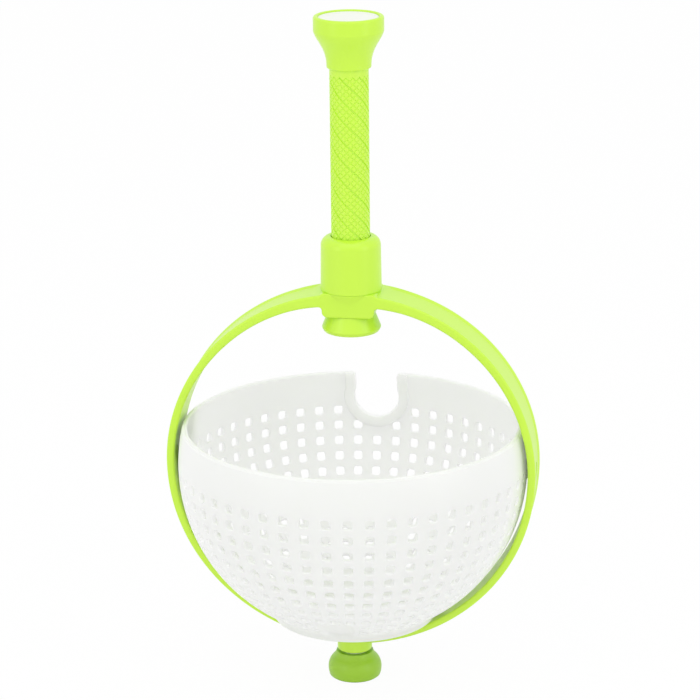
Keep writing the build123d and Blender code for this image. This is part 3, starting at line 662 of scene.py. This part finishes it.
def hoop_band():
    half_width = arc_half_width()
    sections = []
    for outside, inside in hoop_stations():
        thickness = (outside - inside).length
        outward = (outside - inside).normalized()
        width = half_width(PIVOT + outside.y)
        if outside.y > 0:
            flush = BLOCK_HALF_DEPTH - width - BLOCK_STEP
            width += flush * smooth_step(ARM_WIDENING, BLOCK_FLARE, abs(outside.x))
        trough_end = TROUGH_TOP_END if outside.y > 0 else TROUGH_FOOT_END
        depth = TROUGH_DEPTH * smooth_step(trough_end, trough_end + TROUGH_RUNOUT, abs(outside.x))
        lip = width - TROUGH_LIP
        bed = lip - TROUGH_SLOPE
        outline = rounded([
            (width, thickness, HOOP_OUTER_EDGE), (lip, thickness, TROUGH_EDGE),
            (bed, thickness - depth, TROUGH_EDGE), (-bed, thickness - depth, TROUGH_EDGE),
            (-lip, thickness, TROUGH_EDGE), (-width, thickness, HOOP_OUTER_EDGE),
            (-width, 0, HOOP_INNER_EDGE), (width, 0, HOOP_INNER_EDGE),
        ], steps=3)
        section = []
        for across, rise in outline:
            point = inside + outward * rise
            section.append((point.x, across, PIVOT + point.y))
        sections.append(section)
    return lofted("hoop_band", sections, closed=True)


def collar_block():
    """Block under the collar, with a small hollow curve where it meets the arms."""
    right = [(BLOCK_HALF, BLOCK_BOTTOM, BLOCK_CORNER), (BLOCK_HALF, ARM_UNDERSIDE, BLOCK_HOLLOW),
             (BLOCK_FLARE, ARM_UNDERSIDE - FLARE_DROP, 0), (BLOCK_FLARE, ARM_UNDERSIDE + FLARE_COVER, 0),
             (BLOCK_HALF, BLOCK_TOP, 0)]
    left = [(-x, z, rounding) for x, z, rounding in reversed(right)]
    block = prism("collar_block", rounded(right + left), -BLOCK_HALF_DEPTH, BLOCK_HALF_DEPTH)
    return bevel(block, BLOCK_EDGE, segments=3)


def saddle():
    """Flare that carries the collar's foot down onto the block."""
    foot = BLOCK_TOP - SADDLE_DROP
    return turned("saddle", [(0, BLOCK_TOP), (collar_high.x, BLOCK_TOP), (SADDLE_FOOT, foot), (0, foot)])


def hub():
    outline = rounded([(0, bush_low.z, 0), (HUB_RADIUS, bush_low.z, HUB_EDGE),
                       (HUB_RADIUS, HOOP_FLOOR, HUB_EDGE), (0, HOOP_FLOOR, 0)], closed=False)
    return turned("hub", outline)


def bell_radius(height):
    """Radius of the bell's skirt at a height."""
    share = (BELL_TOP - height) / (BELL_TOP - bell_low.z - BELL_LIP)
    return BELL_NECK + (bell_high.x - BELL_NECK) * share


def shaft_passage():
    """What the shaft, its bell and the lower bush need through the block."""
    start = BLOCK_BOTTOM - OVERRUN
    bell_neck = BELL_NECK + RUNNING_GAP
    bell_top = BELL_TOP + RUNNING_GAP
    opening = shaft_high.x + RUNNING_GAP
    bush_foot = BLOCK_TOP - LOWER_BUSH_DEPTH
    collar_foot = BLOCK_TOP + COLLAR_SEAT_STEP
    collar_room = collar_high.x + COLLAR_SEAT_GAP
    above = BLOCK_TOP + ARM_THICKNESS
    outline = [(0, start), (bell_radius(start) + RUNNING_GAP, start), (bell_neck, BELL_TOP),
               (bell_neck, bell_top), (opening, bell_top), (opening, bush_foot), (LOWER_BUSH_SEAT, bush_foot),
               (LOWER_BUSH_SEAT, collar_foot), (collar_room, collar_foot), (collar_room, above), (0, above)]
    return turned("shaft_passage", outline)


def screw_pockets():
    """Pockets for the screws that come up through the block."""
    start = BLOCK_BOTTOM - OVERRUN
    seat = BLOCK_BOTTOM + SCREW_HEAD_DEPTH
    end = BLOCK_TOP - SCREW_COVER
    outline = [(0, start), (SCREW_HEAD_ROOM, start), (SCREW_HEAD_ROOM, seat), (SCREW_BORE, seat),
               (SCREW_BORE, end), (0, end)]
    pockets = []
    for index in range(SCREW_COUNT):
        turn = 2 * pi * (index + 0.5) / SCREW_COUNT
        pocket = turned("pocket", outline, SCREW_STEPS)
        pocket.data.transform(Matrix.Translation(SCREW_CIRCLE * MM * Vector((cos(turn), sin(turn), 0))))
        pockets.append(pocket)
    return pockets


def hub_bore():
    """Bore for the hub's bush and its flange, with room for the washer above."""
    start = bush_low.z - OVERRUN
    flange = bush_high.x + FIT
    flange_top = bush_low.z + BUSH_FLANGE
    washer_room = washer_high.x + RUNNING_GAP
    above = HOOP_FLOOR + OVERRUN
    outline = [(0, start), (flange, start), (flange, flange_top), (BUSH_SEAT, flange_top),
               (BUSH_SEAT, bush_high.z), (washer_room, bush_high.z), (washer_room, above), (0, above)]
    return turned("hub_bore", outline)


def pin_seats():
    """Bores for the pivot pins with seats for their heads."""
    start = HOOP_RADIUS - HOOP_THICKNESS - OVERRUN
    seat = pin_high.x - PIN_HEAD
    end = HOOP_RADIUS + OVERRUN
    head = pin_high.y + FIT
    outline = [(0, start), (PIN_BORE, start), (PIN_BORE, seat), (head, seat), (head, end), (0, end)]
    return both_sides("pin_seat", outline, PIN_STEPS)


def hoop():
    made = hoop_band()
    work(made, "UNION", collar_block())
    work(made, "UNION", saddle())
    work(made, "UNION", hub())
    work(made, "DIFFERENCE", shaft_passage(), hub_bore(), *pin_seats())
    work(made, "DIFFERENCE", *screw_pockets())
    made.name = "spinning_hoop"
    dress(made, lime, "frame_green", "frame", "hoop")


# Collar
def collar_sleeve():
    low = collar_low.z
    high = collar_high.z
    ceiling = high - COLLAR_LIP
    opening = shaft_high.x + RUNNING_GAP
    outline = rounded([(COLLAR_CAVITY, low, 0), (collar_high.x, low, COLLAR_FOOT_EDGE),
                       (collar_high.x - COLLAR_TAPER, high, COLLAR_ROUNDING),
                       (opening, high, COLLAR_MOUTH_EDGE), (opening, ceiling, 0),
                       (COLLAR_CAVITY, ceiling, 0)], steps=10)
    dress(turned("collar_sleeve", outline), lime, "frame_green", "frame", "collar")


# Handle
def knurl_depth(column, along, row, across):
    """How deep a point of the shaft lies below its skin."""
    columns = (column - 1, column) if along == 0 else (column,)
    rows = (row - 1, row) if across == 0 else (row,)
    if not any(KNURL_LOW <= c - r <= KNURL_HIGH for c in columns for r in rows):
        return 0.0
    share = ALONG_PARTS[along]
    nearest = column if share <= 0.5 else column + 1
    away = round(min(share, 1 - share), 2)
    cross = round(min(ACROSS_PARTS[across], 1 - ACROSS_PARTS[across]), 2)
    deep = nearest % DEEP_EVERY == 0
    if deep and away <= GROOVE_FLOOR:
        return GROOVE_DEPTH
    if cross <= LINE_FLOOR or (away <= LINE_FLOOR and not deep):
        return LINE_DEPTH
    return 0.0


def spiral_handle():
    """Shaft laid out on the two crossing families of spirals, so that every line follows the mesh."""
    vertices = []
    index = {}

    def vertex(column, along, row, across):
        if along == len(ALONG_PARTS):
            column += 1
            along = 0
        if across == len(ACROSS_PARTS):
            row += 1
            across = 0
        laps = column // LINES
        key = (column - laps * LINES, along, row - laps * LINES, across)
        if key not in index:
            left = (key[0] + ALONG_PARTS[along]) / LINES
            right = (key[2] + ACROSS_PARTS[across]) / LINES
            radius = shaft_high.x - knurl_depth(*key)
            angle = pi * (left + right)
            height = GROOVE_START + LEAD * (left - right) / 2
            index[key] = len(vertices)
            vertices.append((radius * cos(angle), radius * sin(angle), height))
        return index[key]

    faces = []
    corners = ((0, 0), (1, 0), (1, 1), (0, 1))
    for column in range(LINES):
        for rise in range(SHAFT_LOW, SHAFT_HIGH + 1):
            row = column - rise
            for along in range(len(ALONG_PARTS)):
                for across in range(len(ACROSS_PARTS)):
                    faces.append(tuple(vertex(column, along + ahead, row, across + over)
                                       for ahead, over in corners))
    made = make_object("spiral_handle", vertices, faces)
    shape = bmesh.new()
    shape.from_mesh(made.data)
    bmesh.ops.edgeloop_fill(shape, edges=[edge for edge in shape.edges if edge.is_boundary])
    bmesh.ops.recalc_face_normals(shape, faces=shape.faces)
    shape.to_mesh(made.data)
    shape.free()
    dress(made, lime_grip, "handle_green", "handle", "spiral_shaft")


def bell_skirt():
    low = bell_low.z
    bore = shaft_high.x - BELL_OVERLAP
    dish = sweep_curve((0, DISH_TOP), (DISH_FLAT, DISH_TOP), DISH_SLOPE, (DISH_RADIUS, low), 10)
    skirt = rounded([(DISH_RADIUS, low, 0), (BELL_FOOT, low, BELL_FOOT_EDGE),
                     (bell_high.x, low + BELL_LIP, BELL_LIP_EDGE), (BELL_NECK, BELL_TOP, BELL_TOP_EDGE),
                     (bore, BELL_TOP, 0), (bore, BELL_SEAT, 0), (0, BELL_SEAT, 0)], closed=False)
    dress(turned("bell_skirt", dish + skirt[1:]), lime, "handle_green", "handle", "stop_bell")


def push_knob():
    low = knob_low.z
    high = knob_high.z
    widest = knob_high.x
    lip = low + SLEEVE_LIP
    well = cap_high.x + FIT
    bore = shaft_high.x + FIT
    flare = sweep_curve((SLEEVE_RADIUS, lip), (SLEEVE_RADIUS, KNOB_WAIST), KNOB_SWELL,
                        (widest, KNOB_BAND), 24)
    top = rounded([(widest, KNOB_BAND, 0), (widest, high, KNOB_TOP_EDGE), (well, high, KNOB_WELL_EDGE),
                   (well, cap_low.z, 0), (KNOB_SCREW_ROOM, cap_low.z, 0), (KNOB_SCREW_ROOM, KNOB_SOCKET, 0),
                   (bore, KNOB_SOCKET, 0), (bore, low, KNOB_MOUTH_EDGE), (SLEEVE_RADIUS, low, SLEEVE_LIP),
                   (SLEEVE_RADIUS, lip, 0)], closed=False)
    dress(turned("push_knob", flare + top[1:-1]), lime, "handle_green", "handle", "knob")


def knob_disc():
    outline = rounded([(0, cap_low.z, 0), (cap_high.x, cap_low.z, CAP_LOWER_EDGE),
                       (cap_high.x, cap_high.z, CAP_UPPER_EDGE), (0, cap_high.z, 0)], closed=False)
    dress(turned("knob_disc", outline), cap_white, "white_plastic", "handle", "knob_cap")


# Basket
def sphere_point(radius, latitude, turn):
    level = radius * cos(latitude)
    return (level * cos(turn), level * sin(turn), PIVOT + radius * sin(latitude))


def has_hole(row, column):
    """The top rows leave out the notch at the back and the two pivots, the lowest rows the scoop."""
    quarter = HOLE_COLUMNS // 4
    if row == 0:
        return column % (2 * quarter) != quarter and abs(column - 2 * quarter) > 1
    if row == 1 and column == 2 * quarter:
        return False
    at_front = min(column, HOLE_COLUMNS - column) <= 1
    return not (at_front and row >= HOLE_ROWS - SCOOP_ROWS)


def pressed(point):
    """A point of the basket, moved in where the scoop is in the front of its outer face."""
    x, y, z = point
    slack = 0.05
    outer = hypot(x, y) > RING_RADIUS - slack and hypot(x, y, z - PIVOT) > BOWL_RADIUS - slack
    if y > 0 or not outer:
        return point
    inside = SCOOP_RADIUS - hypot(x, min(z - SCOOP_BOTTOM - SCOOP_RADIUS, 0))
    depth = SCOOP_DEPTH * smooth_step(0, SCOOP_SOFTNESS, inside)
    depth *= smooth_step(0, SCOOP_SOFTNESS, SCOOP_TOP - z)
    focus = Vector((0, 0, RING_BOTTOM + SCOOP_FOCUS))
    return Vector(point) + (focus - Vector(point)).normalized() * depth


def hole_loop(half_width, half_height, corner):
    """Rounded rectangle of 16 points, in step with the 16 points round its cell."""
    ways = ((-1, 1), (-1, -1), (1, -1), (1, 1))
    centres = [Vector((right * (half_width - corner), up * (half_height - corner))) for right, up in ways]
    loop = []
    for turn in range(4):
        middle = radians(135 + 90 * turn)
        end = middle + pi / 4
        bend = corner * Vector((cos(end), sin(end)))
        loop.append(centres[turn] + corner * Vector((cos(middle), sin(middle))))
        loop.append(centres[turn] + bend)
        loop.append(Vector((half_width * round(cos(end)), half_height * round(sin(end)))))
        loop.append(centres[(turn + 1) % 4] + bend)
    return loop


def longitude(step):
    """Angle of a step round the bowl, the first column of cells lying at the front."""
    return -pi / 2 + 2 * pi * (step - CELL_STEPS / 2) / AROUND


class Skin:
    """Points and faces of the bowl, as they are laid out."""

    def __init__(self):
        self.vertices = []
        self.faces = []

    def add(self, point):
        self.vertices.append(point)
        return len(self.vertices) - 1

    def ring(self, radius, height):
        if radius < ON_AXIS:
            return [self.add((0, 0, height))] * AROUND
        return [self.add((radius * cos(longitude(step)), radius * sin(longitude(step)), height))
                for step in range(AROUND)]

    def sphere_ring(self, radius, latitude):
        return self.ring(radius * cos(latitude), PIVOT + radius * sin(latitude))

    def hole_ring(self, radius, latitude, middle, shape):
        """Loop of a hole at a radius from the bowl's centre."""
        level_radius = BOWL_RADIUS * cos(latitude)
        return [self.add(sphere_point(radius, latitude + up / BOWL_RADIUS, middle + right / level_radius))
                for right, up in shape]

    def chain(self, *loops):
        """Faces from each loop to the next, three-sided where a loop is one point."""
        for first, second in zip(loops, loops[1:]):
            for index in range(len(first)):
                ahead = (index + 1) % len(first)
                corners = (first[index], first[ahead], second[ahead], second[index])
                self.faces.append(tuple(dict.fromkeys(corners)))


class WallFace:
    """One face of the bowl's wall: the borders of the cells round its holes."""

    def __init__(self, skin, radius):
        self.skin = skin
        self.radius = radius
        levels = [TOP_LATITUDE - ROW_STEP * row for row in range(HOLE_ROWS + 1)]
        self.across = [skin.sphere_ring(radius, level) for level in levels]
        self.down = [[self.upright(level, column) for column in range(HOLE_COLUMNS)] for level in levels[:-1]]

    def upright(self, level, column):
        """Points down the left side of a cell, between its corners."""
        side = longitude(column * CELL_STEPS)
        return [self.skin.add(sphere_point(self.radius, level - ROW_STEP * part / CELL_STEPS, side))
                for part in range(1, CELL_STEPS)]

    def border(self, row, column):
        """Points round a cell, down its left side first."""
        start = column * CELL_STEPS
        end = (start + CELL_STEPS) % AROUND
        right = (column + 1) % HOLE_COLUMNS
        above = self.across[row]
        below = self.across[row + 1]
        loop = [above[start]] + self.down[row][column] + [below[start + step] for step in range(CELL_STEPS)]
        loop += [below[end]] + self.down[row][right][::-1] + [above[end]]
        return loop + [above[start + step] for step in range(CELL_STEPS - 1, 0, -1)]

    def fill(self, row, column):
        """Fills a cell that has no hole."""
        start = column * CELL_STEPS
        right = (column + 1) % HOLE_COLUMNS
        steps = [(start + step) % AROUND for step in range(CELL_STEPS + 1)]
        lines = [[self.across[row][step] for step in steps]]
        for part in range(1, CELL_STEPS):
            level = TOP_LATITUDE - ROW_STEP * (row + part / CELL_STEPS)
            between = [self.skin.add(sphere_point(self.radius, level, longitude(start + step)))
                       for step in range(1, CELL_STEPS)]
            lines.append([self.down[row][column][part - 1]] + between + [self.down[row][right][part - 1]])
        lines.append([self.across[row + 1][step] for step in steps])
        for above, below in zip(lines, lines[1:]):
            for step in range(CELL_STEPS):
                self.skin.faces.append((above[step], above[step + 1], below[step + 1], below[step]))


def drain_holes(skin, outer, inner):
    """Cells between the two faces of the wall, open where they have a hole."""
    for row in range(HOLE_ROWS):
        latitude = FIRST_ROW - ROW_STEP * row
        column_pitch = 2 * pi * BOWL_RADIUS * cos(latitude) / HOLE_COLUMNS
        half_width = min(HOLE_SIZE, HOLE_SHARE * column_pitch) / 2
        half_height = HOLE_SIZE / 2
        mouth = hole_loop(half_width + HOLE_EDGE, half_height + HOLE_EDGE, HOLE_CORNER + HOLE_EDGE)
        throat = hole_loop(half_width, half_height, HOLE_CORNER)
        through = ((BOWL_RADIUS, mouth), (BOWL_RADIUS - HOLE_EDGE, throat),
                   (BOWL_INSIDE + HOLE_EDGE, throat), (BOWL_INSIDE, mouth))
        for column in range(HOLE_COLUMNS):
            if not has_hole(row, column):
                outer.fill(row, column)
                inner.fill(row, column)
                continue
            middle = longitude((column + 0.5) * CELL_STEPS)
            loops = [skin.hole_ring(radius, latitude, middle, shape) for radius, shape in through]
            skin.chain(outer.border(row, column), *loops, inner.border(row, column))


def rim(skin, outer, inner):
    """Plain wall above the holes, up the inside, over the rounded rim and down the outside."""
    shoulder = RIM - RIM_ROUNDING
    rim_inside = sqrt(BOWL_INSIDE**2 - (RIM - PIVOT) ** 2)
    rim_outside = sqrt(BOWL_RADIUS**2 - (RIM - PIVOT) ** 2)
    rise = (shoulder - PIVOT) / BOWL_RADIUS - TOP_LATITUDE
    levels = [TOP_LATITUDE + rise * step / PLAIN_STEPS for step in range(1, PLAIN_STEPS + 1)]
    edge = rounded([(rim_inside, shoulder, 0), (rim_inside, RIM, RIM_ROUNDING),
                    (rim_outside, RIM, RIM_ROUNDING), (rim_outside, shoulder, 0)], closed=False)[1:-1]
    rings = [skin.sphere_ring(BOWL_INSIDE, level) for level in levels]
    rings += [skin.ring(radius, height) for radius, height in edge]
    rings += [skin.sphere_ring(BOWL_RADIUS, level) for level in reversed(levels)]
    skin.chain(inner.across[0], *rings, outer.across[0])


def foot_ring(skin, outer):
    """Ring under the bowl, from the last holes down and in along the floor's underside."""
    start = (BOWL_RADIUS * cos(LAST_LATITUDE), PIVOT + BOWL_RADIUS * sin(LAST_LATITUDE), 0)
    ring_top = PIVOT - sqrt(BOWL_RADIUS**2 - RING_RADIUS**2)
    ring_inside = RING_RADIUS - RING_WALL
    outline = rounded([start, (RING_RADIUS, ring_top, RING_HOLLOW), (RING_RADIUS, RING_BOTTOM, RING_EDGE),
                       (ring_inside, RING_BOTTOM, RING_EDGE), (ring_inside, FLOOR_UNDERSIDE, RING_CORNER),
                       (0, FLOOR_UNDERSIDE, 0)], closed=False)[1:]
    skin.chain(outer.across[-1], *[skin.ring(radius, height) for radius, height in outline])


def bowl_floor(skin, inner):
    """Floor of the bowl, from the last holes in to the axis."""
    corner = sqrt(BOWL_INSIDE**2 - (PIVOT - FLOOR_TOP) ** 2)
    rings = [skin.ring(corner + out, FLOOR_TOP + up) for out, up in FLOOR_BEND]
    rings += [skin.ring(radius, FLOOR_TOP) for radius in (FLOOR_MIDDLE, 0)]
    skin.chain(inner.across[-1], *rings)


def bowl():
    """Bowl with its square drain holes, ring and floor as one skin."""
    skin = Skin()
    outer = WallFace(skin, BOWL_RADIUS)
    inner = WallFace(skin, BOWL_INSIDE)
    drain_holes(skin, outer, inner)
    rim(skin, outer, inner)
    foot_ring(skin, outer)
    bowl_floor(skin, inner)
    return make_object("basket_bowl", [pressed(point) for point in skin.vertices], skin.faces)


def keyhole(grow):
    """Outline of the notch from its left end at the rim round to its right end, grown by a margin."""
    side_steps = 8
    bottom_steps = 40
    radius = NOTCH_RADIUS + grow
    mouth = NOTCH_MOUTH + grow
    shoulder = sqrt(radius * radius - mouth * mouth)
    start = pi - atan2(shoulder, mouth)
    drop = NOTCH_CENTRE + shoulder - RIM
    side = [Vector((-mouth, RIM + drop * step / side_steps)) for step in range(side_steps)]
    bottom = arc((0, NOTCH_CENTRE), radius, start, 3 * pi - start, bottom_steps)
    return side + bottom + [flipped(point) for point in reversed(side)]


def notch_cutter():
    outline = keyhole(NOTCH_CLEARING)
    above = Vector((0, OVERRUN))
    outline = [outline[0] + above] + outline + [outline[-1] + above]
    return prism("notch_cutter", outline, NOTCH_BACK, BOWL_RADIUS + OVERRUN)


def notch_corners():
    """Cutters that round the two corners of the notch at the rim."""
    inside = NOTCH_MOUTH - OVERRUN
    top = RIM + OVERRUN
    bend = arc((NOTCH_MOUTH + NOTCH_CORNER, RIM - NOTCH_CORNER), NOTCH_CORNER, pi, pi / 2, 8)
    right = [Vector((inside, bend[0].y))] + bend + [Vector((bend[-1].x, top)), Vector((inside, top))]
    left = [flipped(point) for point in right]
    return [prism("notch_corner", outline, NOTCH_BACK, BOWL_RADIUS + OVERRUN) for outline in (right, left)]


def notch_lip():
    """Flange round the notch, standing into the bowl."""
    face = BOWL_INSIDE - LIP_DEPTH
    proud = BOWL_RADIUS + LIP_PROUD
    section = rounded([(0, proud, LIP_OUTER_EDGE), (0, face, LIP_INNER_EDGE),
                       (LIP_WIDTH, face, LIP_FOOT_EDGE), (LIP_WIDTH, BOWL_INSIDE + LIP_SUNK, 0),
                       (NOTCH_CLEARING + LIP_HEEL, BOWL_RADIUS - LIP_SUNK, 0),
                       (NOTCH_CLEARING + LIP_TOE, proud, 0)], steps=3)

    def at_reach(point, reach):
        x = point.x
        z = min(point.y, RIM - LIP_DROP)
        return (x, sqrt(reach**2 - x * x - (z - PIVOT) ** 2), z)

    rails = [[at_reach(point, reach) for point in keyhole(grow)] for grow, reach in section]
    return lofted("notch_lip", list(zip(*rails)))


def bosses():
    """Bosses that the pivot pins run in."""
    outline = rounded([(0, BOSS_START, 0), (BOSS_RADIUS, BOSS_START, BOSS_EDGE),
                       (BOSS_RADIUS, BOSS_END, BOSS_EDGE), (0, BOSS_END, 0)], closed=False)
    return both_sides("boss", outline, BOSS_STEPS)


def boss_bores():
    start = BOSS_START - OVERRUN
    end = BOSS_END + OVERRUN
    return both_sides("bore", [(0, start), (PIN_BORE, start), (PIN_BORE, end), (0, end)], PIN_STEPS)


def basket():
    made = bowl()
    work(made, "DIFFERENCE", notch_cutter())
    work(made, "UNION", notch_lip(), *bosses())
    work(made, "DIFFERENCE", *notch_corners(), *boss_bores())
    dress(made, white, "white_plastic", "basket", "basket")


foot_bulb()
foot_sole()
hoop()
collar_sleeve()
spiral_handle()
bell_skirt()
push_knob()
knob_disc()
basket()

# CAD pieces that keep their shape
kept = {
    steel: ("axle", "retaining_washer", "retaining_screw", "collar_screws", "bell_pin", "knob_screw"),
    acetal: ("thrust_washer", "hub_bush", "lower_bush", "upper_bush", "clutch_ring", "drive_nut"),
    lime: ("pivot_pin_right", "pivot_pin_left"),
}
for finish, nodes in kept.items():
    for node in nodes:
        mesh = frame["nodes"][node].data
        mesh.materials.clear()
        mesh.materials.append(finish)


# Stage
def camera():
    heading = CAMERA_TURN + CAMERA_YAW
    place = Vector((CAMERA_DISTANCE * sin(CAMERA_TURN), -CAMERA_DISTANCE * cos(CAMERA_TURN),
                    PIVOT + CAMERA_RISE))
    reach = cos(CAMERA_PITCH)
    forward = Vector((-sin(heading) * reach, cos(heading) * reach, -sin(CAMERA_PITCH)))
    level = Vector((cos(heading), sin(heading), 0))
    right = Matrix.Rotation(CAMERA_ROLL, 3, forward) @ level
    up = right.cross(forward)
    turn = Matrix((right, up, -forward)).transposed().to_4x4()
    data = bpy.data.cameras.new("camera")
    data.lens = CAMERA_LENS
    data.sensor_width = CAMERA_SENSOR
    made = bpy.data.objects.new("camera", data)
    made.matrix_world = Matrix.Translation(place * MM) @ turn
    bpy.context.scene.collection.objects.link(made)
    bpy.context.scene.camera = made


def softbox(name, azimuth, elevation, distance, width, height, watts):
    """Large soft lamp aimed at the middle of the object."""
    aim = Vector((0, 0, LAMP_AIM))
    turn = CAMERA_TURN + radians(azimuth)
    rise = radians(elevation)
    place = aim + distance * Vector((sin(turn) * cos(rise), -cos(turn) * cos(rise), sin(rise)))
    data = bpy.data.lights.new(name, "AREA")
    data.shape = "RECTANGLE"
    data.size = width
    data.size_y = height
    data.energy = watts
    made = bpy.data.objects.new(name, data)
    towards = (aim - place).to_track_quat("-Z", "Y").to_matrix().to_4x4()
    made.matrix_world = Matrix.Translation(place) @ towards
    bpy.context.scene.collection.objects.link(made)


def seen_directly(finish):
    """1 where a ray comes straight from the camera, a reflection or a see-through surface."""
    path = "ShaderNodeLightPath"
    seen = finish.node(path, {}, {}, "Is Camera Ray") + finish.node(path, {}, {}, "Is Glossy Ray")
    return seen + finish.node(path, {}, {}, "Is Transmission Ray")


def studio():
    """Even light from all round, seen by the camera as a white backdrop."""
    world = bpy.data.worlds.new("studio")
    bpy.context.scene.world = world
    finish = Finish(world)
    plain = opaque(1.0, 1.0, 1.0)
    light = finish.node("ShaderNodeBackground", {}, {"Color": plain, "Strength": AMBIENT})
    backdrop = finish.node("ShaderNodeBackground", {}, {"Color": plain, "Strength": 1.0})
    mixed = finish.node("ShaderNodeMixShader", {}, {0: seen_directly(finish), 1: light, 2: backdrop})
    finish.feed(finish.tree.nodes["World Output"].inputs["Surface"], mixed)


def floor():
    """Pale floor that the camera sees as almost white, with the shadow kept."""
    half = FLOOR_HALF / MM
    made = make_object("floor", [(-half, -half, 0), (half, -half, 0), (half, half, 0), (-half, half, 0)],
                       [(0, 1, 2, 3)])
    material = bpy.data.materials.new("pale_floor")
    finish = Finish(material)
    finish.shade(Base_Color=opaque(FLOOR_SHADE, FLOOR_SHADE, FLOOR_SHADE), Roughness=0.9,
                 Specular_IOR_Level=0.1)
    lit = Value(finish, finish.tree.nodes["Principled BSDF"].outputs[0])
    glow = finish.node("ShaderNodeEmission", {}, {"Color": opaque(1.0, 1.0, 1.0), "Strength": 1.0})
    mixed = finish.node("ShaderNodeMixShader", {}, {0: FLOOR_GLOW * seen_directly(finish), 1: lit, 2: glow})
    finish.feed(finish.tree.nodes["Material Output"].inputs["Surface"], mixed)
    made.data.materials.append(material)


camera()
studio()
floor()
for name, lamp in SOFTBOXES.items():
    softbox(name, **lamp)
bpy.context.scene.view_settings.view_transform = "Standard"
